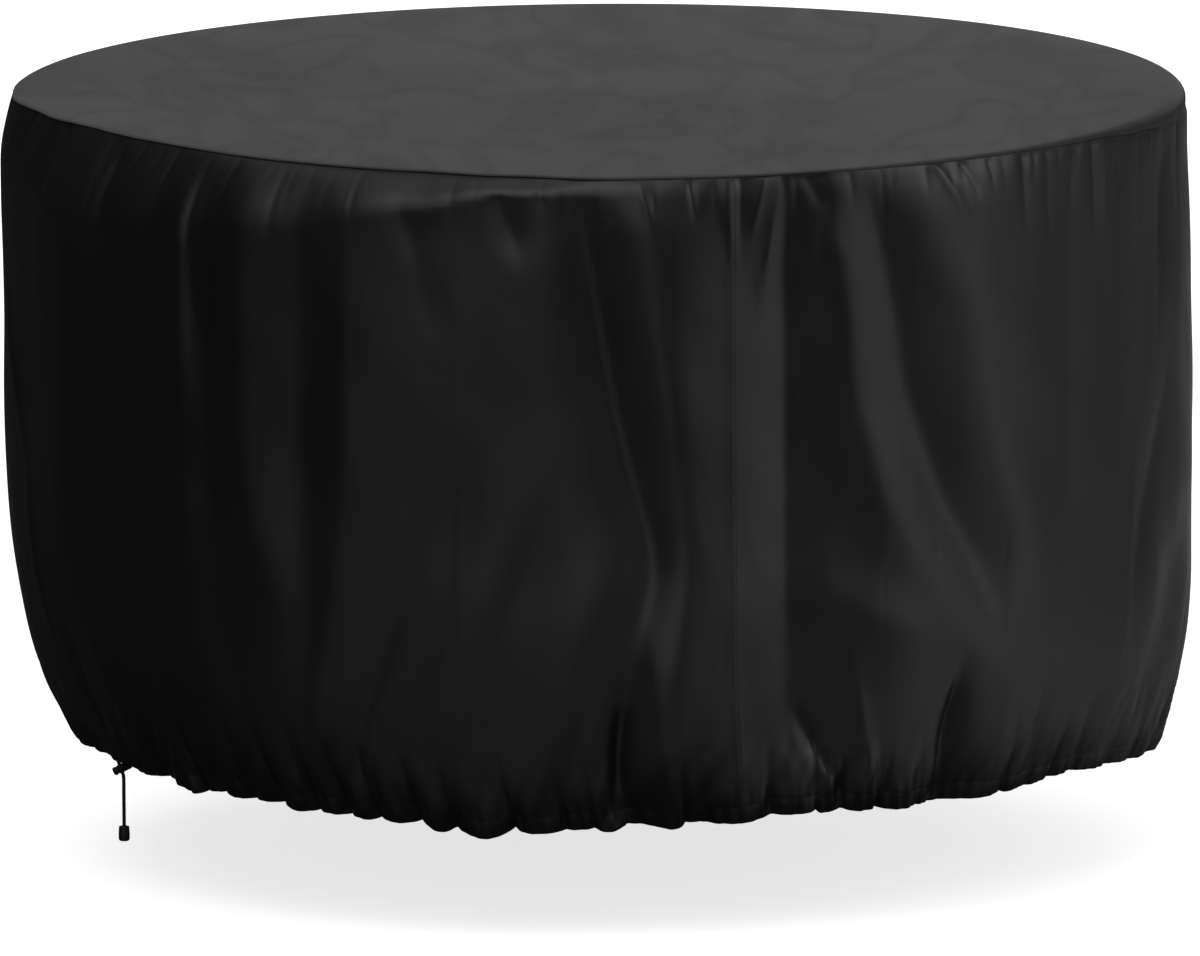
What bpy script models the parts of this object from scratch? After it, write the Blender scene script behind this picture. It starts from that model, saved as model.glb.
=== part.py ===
"""A round fitted furniture cover in coated woven cloth, as it hangs over what it covers.

Metres, +Z up. The origin is the middle of the top panel's underside, where the furniture
carries the cover, and the front is -Y. Angles round the cover are in degrees from the front,
growing towards +X. A share says how far down the skirt a point is: 0 at the seam, 1 at the hem.
"""

import math
from collections import namedtuple

import bmesh
import bpy
from mathutils import Matrix, Vector

# Cloth: one round panel and one gathered strip.
SHEET = 0.0015
PIECE_GAP = 0.0003
TOP_RADIUS = 0.638
EDGE_ROUND = 0.010
HEM_RADIUS = 0.579
HEM_SHIFT = 0.020
PULL_POWER = 2.4

# Segments round the seam. The skirt's lowest rows have twice as many, for the gathers.
AROUND = 120
UPPER_ROWS = (0.0, 0.04, 0.13, 0.25, 0.38, 0.51, 0.64, 0.75, 0.84)
HEM_ROWS = (0.92, 0.97, 1.0)
EDGE_STEPS = (0.0, 45.0, 90.0)

# A fold takes this much of the height to start, and fades out over this much at its foot.
FOLD_START = 0.10
FOLD_FADE = 0.20

# The hem's gathers: how many there are, how deep and how far they sag below the drawcord.
# They grow below GATHER_TOP, and the cloth is still for some degrees round the cord lock.
GATHERS = 60
GATHER_DEPTH = 0.005
GATHER_SAG = 0.003
GATHER_TOP = 0.80
GATHER_STILL = 4.5

# Free tail of the drawcord, its lock and its end piece.
CORD_RADIUS = 0.0020
CORD_BEND = 0.016
CORD_STEP = 0.005
LOCK_ANGLE = -66.7
LOCK_OUT = 0.5796
LOCK_DROP = 0.6977
LOCK_PITCH = 21.0
LOCK_RADIUS = 0.0048
LOCK_LENGTH = 0.0155
LOCK_MOUTH = 0.0037
LOCK_END_WALL = 0.0025
LOCK_ROUND = 0.0008
LOCK_BACK_ROUND = 0.0016
HOLE_RADIUS = 0.00235
BORE_RADIUS = 0.0035
STEM_RADIUS = 0.0032
STEM_INNER_END = 0.0055
SLOT_HALF_WIDTH = 0.0023
BUTTON_RADIUS = 0.0045
BUTTON_THICK = 0.0034
BUTTON_ROUND = 0.0011
BUTTON_DOME = 0.0003
BUTTON_GAP = 0.0015
BUTTON_TRAVEL = 0.0012
CORD_ABOVE_LOCK = 0.0032
CORD_END_TOP = 0.7605
CORD_END_LENGTH = 0.0162
CORD_END_SOCKET = 0.0045
CORD_END_MOUTH_RADIUS = 0.0056
CORD_END_MOUTH_ROUND = 0.0012
CORD_END_RADIUS = 0.0060
CORD_END_FOOT_ROUND = 0.0029
TURN_STEPS = 32
ROUND_STEPS = 4
CURVE_STEPS = 20

Level = namedtuple("Level", "angle drop")

# How far below the top panel the seam runs. It lies lowest at the right-hand end.
SEAM_LEVELS = (
    Level(-180, 0.014),
    Level(-120, 0.015),
    Level(-90, 0.014),
    Level(-45, 0.012),
    Level(0, 0.012),
    Level(45, 0.013),
    Level(72, 0.019),
    Level(90, 0.026),
    Level(110, 0.021),
    Level(145, 0.013),
)

# How far below the top panel the hem runs. It is drawn up where the cord comes out.
HEM_LEVELS = (
    Level(-180, 0.709),
    Level(-150, 0.703),
    Level(-120, 0.707),
    Level(-90, 0.699),
    Level(-70, 0.692),
    Level(-68, 0.690),
    Level(-65.8, 0.690),
    Level(-63, 0.6945),
    Level(-56, 0.696),
    Level(-40, 0.702),
    Level(-25, 0.709),
    Level(-12, 0.718),
    Level(0, 0.714),
    Level(10, 0.709),
    Level(21, 0.702),
    Level(40, 0.705),
    Level(59, 0.698),
    Level(75, 0.708),
    Level(90, 0.715),
    Level(120, 0.706),
    Level(150, 0.702),
)

Fold = namedtuple("Fold", "seam middle hem top foot left right depth")

# The main folds: the angle where each runs at the seam, at half height and at the hem, the
# shares where it starts and ends, its half width to each side in degrees, and its depth.
# A ridge is positive and a trough negative.
FOLDS = (
    Fold(-71, -71, -70, 0.04, 0.60, 3.5, 4.0, -0.009),
    Fold(-63, -63, -60, 0.04, 0.62, 3.5, 3.5, 0.005),
    Fold(-54, -53, -50, 0.04, 0.70, 4.0, 4.0, -0.009),
    Fold(-45, -45, -44, 0.04, 0.50, 3.5, 3.5, 0.005),
    Fold(-38, -37, -40, 0.10, 0.90, 3.5, 3.5, -0.008),
    Fold(-33, -31, -24, 0.04, 0.75, 3.0, 3.0, 0.007),
    Fold(-27, -26, -25, 0.04, 0.72, 3.0, 4.5, -0.013),
    Fold(-8, -14, -22, 0.40, 0.98, 3.5, 3.5, -0.010),
    Fold(6, -2, -14, 0.44, 0.98, 3.5, 3.5, -0.010),
    Fold(-4.5, -1, 14, 0.04, 0.72, 5.0, 2.5, 0.006),
    Fold(-0.5, 5, 16, 0.04, 0.74, 2.5, 5.5, -0.021),
    Fold(13, 13, 6, 0.04, 0.96, 4.0, 5.0, 0.008),
    Fold(18.8, 18.8, 18.8, 0.04, 0.88, 2.5, 5.5, -0.020),
    Fold(26, 34, 58, 0.04, 0.76, 3.5, 2.5, 0.008),
    Fold(32.5, 40, 62, 0.04, 0.74, 2.5, 5.5, -0.018),
    Fold(42.5, 47.5, 45, 0.04, 0.96, 4.5, 4.0, 0.008),
    Fold(52, 53, 53, 0.04, 0.60, 2.5, 2.5, -0.006),
    Fold(69.5, 64.5, 50, 0.04, 0.76, 2.5, 3.5, -0.012),
    Fold(22, 22, 22, 0.70, 1.00, 4.0, 4.0, -0.010),
    Fold(40, 38, 35, 0.64, 1.00, 3.0, 3.0, -0.010),
    Fold(3, 2.5, 1, 0.66, 1.00, 3.0, 3.0, -0.009),
    Fold(84, 80, 68, 0.55, 1.00, 5.0, 5.0, -0.012),
    Fold(90, 90, 88, 0.06, 0.85, 20.0, 24.0, 0.006),
    Fold(104, 102, 97, 0.04, 0.80, 3.0, 5.0, -0.018),
    Fold(116, 113, 108, 0.04, 0.76, 5.0, 3.0, 0.007),
    Fold(127, 131, 141, 0.04, 0.72, 2.5, 5.5, -0.018),
    Fold(138, 135, 128, 0.10, 0.96, 4.0, 4.5, 0.007),
    Fold(149, 149, 151, 0.04, 0.90, 2.5, 5.0, -0.020),
    Fold(160, 165, 178, 0.04, 0.76, 4.0, 3.0, 0.008),
    Fold(170, 177, 191, 0.04, 0.72, 2.5, 5.5, -0.020),
    Fold(187, 186, 183, 0.04, 0.92, 5.0, 4.0, 0.008),
    Fold(199, 195, 186, 0.04, 0.78, 3.0, 5.0, -0.017),
    Fold(211, 213, 221, 0.04, 0.72, 4.0, 4.0, 0.007),
    Fold(222, 225, 234, 0.04, 0.82, 3.0, 5.0, -0.016),
    Fold(236, 232, 227, 0.35, 1.00, 4.0, 4.0, -0.010),
    Fold(246, 248, 251, 0.04, 0.62, 4.0, 4.0, 0.006),
    Fold(258, 258, 260, 0.04, 0.52, 3.0, 4.0, -0.010),
)


def clear_scene():
    for obj in list(bpy.data.objects):
        bpy.data.objects.remove(obj, do_unlink=True)


def new_collection(name):
    collection = bpy.data.collections.new(name)
    bpy.context.scene.collection.children.link(collection)
    return collection


def material(name, color, roughness, metallic=0.0):
    made = bpy.data.materials.new(name)
    made.use_nodes = True
    shader = made.node_tree.nodes["Principled BSDF"]
    shader.inputs["Base Color"].default_value = (*color, 1.0)
    shader.inputs["Roughness"].default_value = roughness
    shader.inputs["Metallic"].default_value = metallic
    return made


def ramp(value, start, end):
    """0 up to start, 1 from end on, and a soft step between them."""
    part = min(max((value - start) / (end - start), 0.0), 1.0)
    return part * part * (3.0 - 2.0 * part)


def turn_between(angle, other):
    """The turn from other to angle the short way round, in degrees."""
    return (angle - other + 180.0) % 360.0 - 180.0


def level_at(levels, angle):
    """The drop at an angle, with soft steps between the rows of a table."""
    turns = [(angle - row.angle) % 360.0 for row in levels]
    index = turns.index(min(turns))
    before = levels[index]
    after = levels[(index + 1) % len(levels)]
    span = (after.angle - before.angle) % 360.0
    step = ramp(turns[index], 0.0, span)
    return before.drop + step * (after.drop - before.drop)


def fold_angle(fold, share):
    """A fold runs down the skirt on a soft arc through its three angles."""
    return (
        fold.seam * (1.0 - share) * (1.0 - 2.0 * share)
        + fold.middle * 4.0 * share * (1.0 - share)
        + fold.hem * share * (2.0 * share - 1.0)
    )


def fold_depth(angle, share):
    """How far the folds push the cloth out at one place."""
    depth = 0.0
    for fold in FOLDS:
        strength = ramp(share, fold.top, fold.top + FOLD_START)
        strength *= 1.0 - ramp(share, fold.foot - FOLD_FADE, fold.foot)
        side = turn_between(angle, fold_angle(fold, share))
        width = fold.left if side < 0.0 else fold.right
        depth += fold.depth * strength * math.exp(-((side / width) ** 2))
    return depth


def gather_wave(angle):
    """The gathers' in and out round the hem, from -1 to 1, uneven and still at the lock."""
    turn = math.radians(angle)
    wander = 1.6 * math.sin(5 * turn + 0.7) + 1.1 * math.sin(13 * turn)
    size = 0.68 + 0.32 * math.sin(7 * turn + 2.0)
    still = math.exp(-((turn_between(angle, LOCK_ANGLE) / GATHER_STILL) ** 2))
    return math.sin(GATHERS * turn + wander) * size * (1.0 - still)


def pulled_in(angle, share):
    """How much of the hem's pull reaches this place. It starts higher up at the left."""
    start = 0.61 + 0.11 * math.sin(math.radians(angle))
    return max(0.0, (share - start) / (1.0 - start)) ** PULL_POWER


def polar(angle, radius, z, shift=0.0):
    turn = math.radians(angle)
    return Vector((shift + radius * math.sin(turn), -radius * math.cos(turn), z))


def skirt_point(angle, share):
    """Where the skirt's outer face hangs."""
    seam = level_at(SEAM_LEVELS, angle) + PIECE_GAP
    drop = seam + share * (level_at(HEM_LEVELS, angle) - seam)
    pull = pulled_in(angle, share)
    gather = gather_wave(angle) * ramp(share, GATHER_TOP, 1.0)
    radius = TOP_RADIUS - pull * (TOP_RADIUS - HEM_RADIUS)
    radius += fold_depth(angle, share) + GATHER_DEPTH * gather
    drop += GATHER_SAG * gather
    return polar(angle, radius, SHEET - drop, HEM_SHIFT * pull)


def edge_point(angle, step):
    """The top panel's rounded edge, and below it the turned-down rim as far as the seam."""
    if step > 90.0:
        return polar(angle, TOP_RADIUS, SHEET - level_at(SEAM_LEVELS, angle))
    bend = math.radians(step)
    radius = TOP_RADIUS - EDGE_ROUND * (1.0 - math.sin(bend))
    return polar(angle, radius, SHEET - EDGE_ROUND * (1.0 - math.cos(bend)))


def grow_ring(bm, edges):
    """Extrudes a ring of edges, and gives the new ring's points and edges."""
    made = bmesh.ops.extrude_edge_only(bm, edges=edges)["geom"]
    points = [item for item in made if isinstance(item, bmesh.types.BMVert)]
    new = set(points)
    ring = [
        item
        for item in made
        if isinstance(item, bmesh.types.BMEdge) and new.issuperset(item.verts)
    ]
    return points, ring


def halve_ring(bm, edges):
    """Puts a new point on the unit circle halfway along each of a ring's edges."""
    halved = bmesh.ops.subdivide_edges(bm, edges=edges, cuts=1)
    middles = [item for item in halved["geom_inner"] if isinstance(item, bmesh.types.BMVert)]
    for point in middles:
        point.co.xy = point.co.xy.normalized()
    return [edge for point in middles for edge in point.link_edges]


def angle_of(point):
    return math.degrees(math.atan2(point.co.x, -point.co.y))


def shell_object(name, bm, collection, surface, even):
    """An open surface made into a sheet, with its thickness on the inside."""
    bmesh.ops.recalc_face_normals(bm, faces=bm.faces)
    mesh = bpy.data.meshes.new(name)
    bm.to_mesh(mesh)
    bm.free()
    mesh.materials.append(surface)
    mesh.shade_smooth()
    obj = bpy.data.objects.new(name, mesh)
    collection.objects.link(obj)
    sheet = obj.modifiers.new("cloth thickness", "SOLIDIFY")
    sheet.thickness = SHEET
    sheet.offset = -1.0
    sheet.use_even_offset = even
    return obj


def make_top_panel(collection, cloth):
    """A disc, then rings round its rounded edge and down to the seam."""
    bm = bmesh.new()
    disc = bmesh.ops.create_circle(bm, cap_ends=True, cap_tris=True, segments=AROUND, radius=1.0)
    places = {point: angle_of(point) for point in disc["verts"] if point.is_boundary}
    edges = [edge for edge in bm.edges if edge.is_boundary]
    centre = next(point for point in disc["verts"] if point not in places)
    centre.co = (0.0, 0.0, SHEET)
    steps = {point: EDGE_STEPS[0] for point in places}
    for step in EDGE_STEPS[1:] + (180.0,):
        points, edges = grow_ring(bm, edges)
        for point in points:
            places[point] = angle_of(point)
            steps[point] = step
    for point, angle in places.items():
        point.co = edge_point(angle, steps[point])
    return shell_object("top_panel", bm, collection, cloth, even=True)


def make_skirt(collection, cloth):
    """A plain tube, one ring for each row, whose points then move to where the cloth hangs."""
    bm = bmesh.new()
    bmesh.ops.create_circle(bm, segments=AROUND, radius=1.0)
    edges = bm.edges[:]
    for share in UPPER_ROWS[1:] + HEM_ROWS:
        if share == HEM_ROWS[0]:
            edges = halve_ring(bm, edges)
        points, edges = grow_ring(bm, edges)
        for point in points:
            point.co.z = -share
    for point in bm.verts:
        point.co = skirt_point(angle_of(point), -point.co.z)
    return shell_object("skirt", bm, collection, cloth, even=False)


def lock_frame():
    """The lock's own axes: Z out along its barrel to the button, X down its cross hole."""
    pitch = math.radians(LOCK_PITCH)
    out = polar(LOCK_ANGLE, 1.0, 0.0)
    barrel = out * math.cos(pitch) - Vector((0, 0, math.sin(pitch)))
    hole = -out * math.sin(pitch) - Vector((0, 0, math.cos(pitch)))
    side = barrel.cross(hole)
    frame = Matrix((hole, side, barrel)).transposed().to_4x4()
    frame.translation = polar(LOCK_ANGLE, LOCK_OUT, SHEET - LOCK_DROP, HEM_SHIFT)
    return frame


def upper_corner(radius, top, corner):
    """Points round a turned profile's upper outer corner, from its top face to its side."""
    return arc(radius - corner, top - corner, corner, 90, 0)


def lower_corner(radius, foot, corner):
    """Points round a turned profile's lower outer corner, from its side to its foot."""
    return arc(radius - corner, foot + corner, corner, 0, -90)


def arc(radius, z, corner, starts, ends):
    points = []
    for step in range(ROUND_STEPS + 1):
        turn = math.radians(starts + (ends - starts) * step / ROUND_STEPS)
        points.append((radius + corner * math.cos(turn), z + corner * math.sin(turn)))
    return points


def turned(name, profile, collection, surface):
    """A profile of radius and height, listed down its outer side, turned about Z."""
    mesh = bpy.data.meshes.new(name)
    links = [(index, index + 1) for index in range(len(profile) - 1)]
    mesh.from_pydata([(radius, 0.0, z) for radius, z in profile], links, [])
    mesh.materials.append(surface)
    obj = bpy.data.objects.new(name, mesh)
    collection.objects.link(obj)
    screw = obj.modifiers.new("turned", "SCREW")
    screw.steps = TURN_STEPS
    screw.render_steps = TURN_STEPS
    screw.use_merge_vertices = True
    screw.merge_threshold = 0.00002
    screw.use_smooth_shade = True
    return obj


def lock_body_profile():
    """The barrel: a cup, with the button's bore open at its outer end."""
    inner_end = LOCK_MOUTH - LOCK_LENGTH
    floor = inner_end + LOCK_END_WALL
    profile = [(0.0, floor), (BORE_RADIUS, floor), (BORE_RADIUS, LOCK_MOUTH)]
    profile += upper_corner(LOCK_RADIUS, LOCK_MOUTH, LOCK_ROUND)
    profile += lower_corner(LOCK_RADIUS, inner_end, LOCK_BACK_ROUND)
    profile.append((0.0, inner_end))
    return profile


def button_profile():
    """The button's slightly domed head, and the stem that runs back into the bore."""
    base = LOCK_MOUTH + BUTTON_GAP
    tip = base + BUTTON_THICK
    profile = [(0.0, tip + BUTTON_DOME)]
    profile += upper_corner(BUTTON_RADIUS, tip, BUTTON_ROUND)
    profile += lower_corner(BUTTON_RADIUS, base, BUTTON_ROUND / 3.0)
    profile += [(STEM_RADIUS, base), (STEM_RADIUS, -STEM_INNER_END), (0.0, -STEM_INNER_END)]
    return profile


def cord_end_profile():
    """The end piece hangs mouth up: sides that widen a little, and a round foot."""
    foot = -CORD_END_LENGTH
    profile = [(0.0, -CORD_END_SOCKET), (HOLE_RADIUS, -CORD_END_SOCKET), (HOLE_RADIUS, 0.0)]
    profile += upper_corner(CORD_END_MOUTH_RADIUS, 0.0, CORD_END_MOUTH_ROUND)
    profile.append((CORD_END_RADIUS, foot / 2.0))
    profile += lower_corner(CORD_END_RADIUS, foot, CORD_END_FOOT_ROUND)
    profile.append((0.0, foot))
    return profile


def cylinder_cutter(name, radius, length, collection):
    """A cylinder along X."""
    bm = bmesh.new()
    bmesh.ops.create_cone(
        bm,
        cap_ends=True,
        segments=TURN_STEPS,
        radius1=radius,
        radius2=radius,
        depth=length,
        matrix=Matrix.Rotation(math.radians(90), 4, "Y"),
    )
    return helper(name, bm, collection)


def slot_cutter(name, low, high, half_width, length, collection):
    """A long hole along X, from low to high on Z, with its corners rounded."""
    bm = bmesh.new()
    bmesh.ops.create_cube(bm, size=1.0)
    bmesh.ops.scale(bm, vec=(length, 2.0 * half_width, high - low), verts=bm.verts)
    bmesh.ops.translate(bm, vec=(0, 0, (low + high) / 2), verts=bm.verts)
    along = [edge for edge in bm.edges if abs(edge.verts[0].co.x - edge.verts[1].co.x) > 1e-6]
    bmesh.ops.bevel(bm, geom=along, offset=0.9 * half_width, segments=5, affect="EDGES", profile=0.5)
    return helper(name, bm, collection)


def helper(name, bm, collection):
    mesh = bpy.data.meshes.new(name)
    bm.to_mesh(mesh)
    bm.free()
    obj = bpy.data.objects.new(name, mesh)
    obj.hide_render = True
    obj.display_type = "WIRE"
    collection.objects.link(obj)
    return obj


def cut(obj, cutter):
    boolean = obj.modifiers.new(cutter.name, "BOOLEAN")
    boolean.operation = "DIFFERENCE"
    boolean.solver = "EXACT"
    boolean.object = cutter


def make_lock(parts, cutters, plastic):
    """The barrel with its cross hole, and the sprung button whose stem has a long slot."""
    holder = bpy.data.objects.new("cord_lock_axis", None)
    parts.objects.link(holder)
    holder.matrix_world = lock_frame()
    body = turned("cord_lock_body", lock_body_profile(), parts, plastic)
    button = turned("cord_lock_button", button_profile(), parts, plastic)
    hole = cylinder_cutter("lock_cross_hole", HOLE_RADIUS, 4.0 * LOCK_RADIUS, cutters)
    slot_top = SLOT_HALF_WIDTH + BUTTON_TRAVEL
    slot = slot_cutter(
        "stem_slot", -SLOT_HALF_WIDTH, slot_top, SLOT_HALF_WIDTH, 4.0 * STEM_RADIUS, cutters
    )
    cut(body, hole)
    cut(button, slot)
    for obj in (body, button, hole, slot):
        obj.parent = holder


def smooth_route(points, step):
    """Evenly spaced points on a smooth curve through the route's own points."""
    ends = [points[0] * 2 - points[1]] + points + [points[-1] * 2 - points[-2]]
    fine = []
    for first, start, end, after in zip(ends, ends[1:], ends[2:], ends[3:]):
        for index in range(CURVE_STEPS):
            part = index / CURVE_STEPS
            fine.append(
                0.5
                * (
                    2 * start
                    + (end - first) * part
                    + (2 * first - 5 * start + 4 * end - after) * part**2
                    + (3 * start - first - 3 * end + after) * part**3
                )
            )
    fine.append(points[-1])
    length = sum((b - a).length for a, b in zip(fine, fine[1:]))
    count = round(length / step)
    spaced = [fine[0]]
    walked = 0.0
    for before, after in zip(fine, fine[1:]):
        run = (after - before).length
        while len(spaced) < count and walked + run >= len(spaced) * length / count:
            part = (len(spaced) * length / count - walked) / run
            spaced.append(before.lerp(after, part))
        walked += run
    return spaced + [fine[-1]]


def cord_route():
    """Down through the lock, then round into a plumb line to the end piece."""
    frame = lock_frame()
    down = frame.to_3x3().col[0]
    middle = frame.translation
    top = middle - down * (LOCK_RADIUS + CORD_ABOVE_LOCK)
    leaves = middle + down * (LOCK_RADIUS + 0.0008)
    pitch = math.radians(LOCK_PITCH)
    inward = -polar(LOCK_ANGLE, 1.0, 0.0)
    points = [top, top.lerp(leaves, 0.35), top.lerp(leaves, 0.7), leaves]
    for part in (0.5, 1.0):
        turned_by = pitch * (1.0 - part)
        aside = CORD_BEND * (math.cos(turned_by) - math.cos(pitch))
        below = CORD_BEND * (math.sin(pitch) - math.sin(turned_by))
        points.append(leaves + inward * aside - Vector((0, 0, below)))
    plumb = points[-1]
    foot = SHEET - CORD_END_TOP - CORD_END_SOCKET + PIECE_GAP
    for part in (0.25, 0.5, 0.75, 1.0):
        points.append(Vector((plumb.x, plumb.y, plumb.z + part * (foot - plumb.z))))
    return points


def make_drawcord(collection, braid):
    """The free tail only. The rest of the cord runs hidden inside the hem."""
    curve = bpy.data.curves.new("drawcord", "CURVE")
    curve.dimensions = "3D"
    curve.bevel_depth = CORD_RADIUS
    curve.bevel_resolution = 3
    curve.use_fill_caps = True
    route = smooth_route(cord_route(), CORD_STEP)
    spline = curve.splines.new("POLY")
    spline.points.add(len(route) - 1)
    for point, place in zip(spline.points, route):
        point.co = (*place, 1.0)
    curve.materials.append(braid)
    obj = bpy.data.objects.new("drawcord", curve)
    collection.objects.link(obj)


def make_cord_end(collection, plastic):
    piece = turned("cord_end", cord_end_profile(), collection, plastic)
    plumb = cord_route()[-1]
    piece.location = (plumb.x, plumb.y, SHEET - CORD_END_TOP)


def main():
    clear_scene()
    parts = new_collection("furniture_cover")
    cutters = new_collection("cutters")
    cloth = material("coated_cloth", (0.012, 0.012, 0.013), 0.55)
    braid = material("braided_cord", (0.010, 0.010, 0.010), 0.80)
    plastic = material("moulded_plastic", (0.012, 0.012, 0.012), 0.40)
    make_top_panel(parts, cloth)
    make_skirt(parts, cloth)
    make_lock(parts, cutters, plastic)
    make_drawcord(parts, braid)
    make_cord_end(parts, plastic)


main()
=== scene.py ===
"""A round fitted furniture cover in black coated cloth, hanging in soft uneven folds.

Metres, +Z up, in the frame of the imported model. The origin is the middle of the top panel's
underside and the front is -Y. Angles round the cover are in degrees from the front, growing
towards +X. A share says how far down the skirt a place is: 0 at the rim seam, 1 at the hem. A
drop is how far below the top panel a place is.
"""

import math
from collections import namedtuple

import bpy
import numpy as np
from mathutils import Matrix, Vector


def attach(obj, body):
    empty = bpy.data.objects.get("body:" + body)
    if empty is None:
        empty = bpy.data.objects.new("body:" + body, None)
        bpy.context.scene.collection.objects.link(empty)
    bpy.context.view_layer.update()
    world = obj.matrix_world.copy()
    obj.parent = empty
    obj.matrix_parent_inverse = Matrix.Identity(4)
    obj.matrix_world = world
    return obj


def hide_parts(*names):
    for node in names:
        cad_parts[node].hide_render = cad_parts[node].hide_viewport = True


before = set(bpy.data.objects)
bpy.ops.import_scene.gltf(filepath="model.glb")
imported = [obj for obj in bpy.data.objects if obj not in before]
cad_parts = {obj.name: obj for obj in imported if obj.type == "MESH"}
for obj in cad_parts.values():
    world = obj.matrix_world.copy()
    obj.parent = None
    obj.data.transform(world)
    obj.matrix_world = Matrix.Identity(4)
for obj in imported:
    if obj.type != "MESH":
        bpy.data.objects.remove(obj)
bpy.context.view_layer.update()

# ---------------------------------------------------------------- the cover's own sizes

# The cloth's thickness, and the radius of its outer face over the table's edge.
SHEET = 0.0015
TOP_RADIUS = 0.638

# The hem is drawn in to a smaller ring, whose middle lies a little to the right.
HEM_RADIUS = 0.579
HEM_SHIFT = 0.020
PULL_POWER = 2.4

# Over how much of the skirt the broad folds set in and fade out. The high ones set in sooner.
FOLD_START = 0.10
LOW_FOLD_START = 0.26
FOLD_FADE = 0.20
HIGH_FOLD = 0.2

# The panel's edge: how far in its bend starts, how much further in for each metre that the seam
# lies below a shallow one, how tall the bend may be, how much of the seam's drop it may take up,
# and how much longer than its radius a quarter of a turn is.
EDGE_SOFT = 0.012
EDGE_SLANT = 0.15
EDGE_SHALLOW = 0.004
EDGE_ROUND = 0.011
EDGE_SHARE = 0.85
QUARTER_MORE = 0.57

# The skirt's height for its shares, the radius at which the cloth is measured flat, and one
# degree round the cover along that cloth.
SKIRT_TALL = 0.69
CLOTH_RADIUS = 0.63
DEGREE = math.radians(1.0) * CLOTH_RADIUS

# The rim seam: how far both cloths dip into it, the gap between them, and the allowances that
# lie behind it.
SEAM_DIP = 0.0006
SEAM_DIP_WIDTH = 0.0026
SEAM_GAP = 0.0003
SEAM_ALLOWANCE = 0.009
SEAM_ALLOWANCE_BEND = 0.0020
SEAM_ALLOWANCE_SINK = 0.0010
PANEL_ALLOWANCE = 0.0060
PANEL_ALLOWANCE_DROP = 0.0002

# The hem is a turned casing for the drawcord.
CASING_HEIGHT = 0.019
CASING_SWELL = 0.0004
CASING_TURN = 0.0021
CASING_STITCH_DIP = 0.0002
CASING_STITCH_WIDTH = 0.0018

# The gathers above the casing, and the shares from which they set in and from which the hem's
# own line shapes the skirt. A sag from FULL_SAG on fills out its belly.
GATHER_DEPTH = 0.0085
GATHER_TOP = 0.80
HEM_ZONE = 0.86
FULL_SAG = 0.006

# The hem's uneven folds and its finest gathers: how deep, and over which shares they set in.
CRUMPLE_DEPTH = 0.0024
CRUMPLE_ZONE = (0.84, 0.95)
HEM_LEAN = 1.0
FINE_GATHER = 0.0014
FINE_ZONE = (0.93, 0.985)

# How far the skirt stands out at its two ends.
RIGHT_FULL = 0.0036
LEFT_FULL = 0.0070

# Where the drawcord comes out. The hem lies still near its lock, and swells round the cord.
LOCK_ANGLE = -66.7
LOCK_STILL = 5.0
CORD_MOUTH_SWELL = 0.0082
CORD_MOUTH_WIDTH = 1.15

# How far below the rim seam each relief of the cloth sets in, and where the puckers end. They
# are weaker where the seam lies far inside the table's edge.
SLACK_ZONE = (0.004, 0.060)
CREASE_ZONE = (0.0, 0.030)
PUCKER_ZONE = (-0.001, 0.004)
PUCKER_END = (0.10, 0.22)
PUCKER_WEAK = 0.55
PUCKER_WEAK_INSETS = (0.030, 0.050)

# The upright seam that closes the skirt's strip into a ring.
SIDE_SEAM_ANGLE = 12.9
SIDE_SEAM_LAP = 0.0085
SIDE_SEAM_RISE = 0.0005

# The free tail of the drawcord. Its girth is the one that the braid's finish is laid on by.
CORD_RADIUS = 0.0020
CORD_LENGTH = 0.078
CORD_GIRTH = 0.0126
BRAID_STRANDS = 8
BRAID_STEP = 0.0019
BRAID_RELIEF = 0.00020

# How finely and how softly the drags' lines run, and the least angle between two of them.
TRACK_STEP = 0.004
TRACK_SOFT = 0.016
TRACK_REACH = 12
TRACK_TOP = -0.06
TRACK_FOOT = 0.80
LEAST_GAP = 0.7

# The stitches, which are rounded pieces of thread.
STITCH_STEP = 0.0046
STITCH_LENGTH = 0.0034
STITCH_RADIUS = 0.00024
STITCH_SIDES = 6

# The twin rows down the side seam: where they lie across it, and from which share, how far down.
SIDE_ROWS = (0.0022, 0.0072)
SIDE_ROW_START = 0.006
SIDE_ROW_SPAN = 0.985

Level = namedtuple("Level", "angle value")


def levels(*rows):
    return tuple(Level(*row) for row in rows)


# How far below the top panel the rim seam lies.
SEAM_LEVELS = levels(
    (-180, 0.0040), (-120, 0.0045), (-90, 0.0030), (-60, 0.0018), (20, 0.0020), (45, 0.0030),
    (58, 0.0055), (66, 0.011), (75, 0.017), (90, 0.021), (110, 0.014), (145, 0.005),
)

# The cover sits a little to the right on its table, so at the left and the front its rim seam
# lies on the table top, this far inside the table's edge.
SEAM_INSETS = levels(
    (-180, 0.006), (-120, 0.007), (-100, 0.010), (-88, 0.013), (-76, 0.032), (-64, 0.052),
    (-50, 0.058), (-34, 0.052), (-19, 0.046), (-9, 0.031), (2, 0.009), (17, 0.005), (29, 0.004),
    (40, 0.003), (50, 0.003), (62, 0.002), (110, 0.002),
)

# How far down from the seam the cloth reaches the table's edge.
SHOULDER_TALLS = levels(
    (-180, 0.010), (-110, 0.020), (-88, 0.070), (-70, 0.100), (-50, 0.095), (-34, 0.064),
    (-19, 0.034), (-9, 0.017), (2, 0.016), (17, 0.024), (29, 0.028), (40, 0.022), (62, 0.012),
    (110, 0.010),
)
SHOULDER_SLANT = 1.7
SHOULDER_BULGE = 0.45

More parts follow.
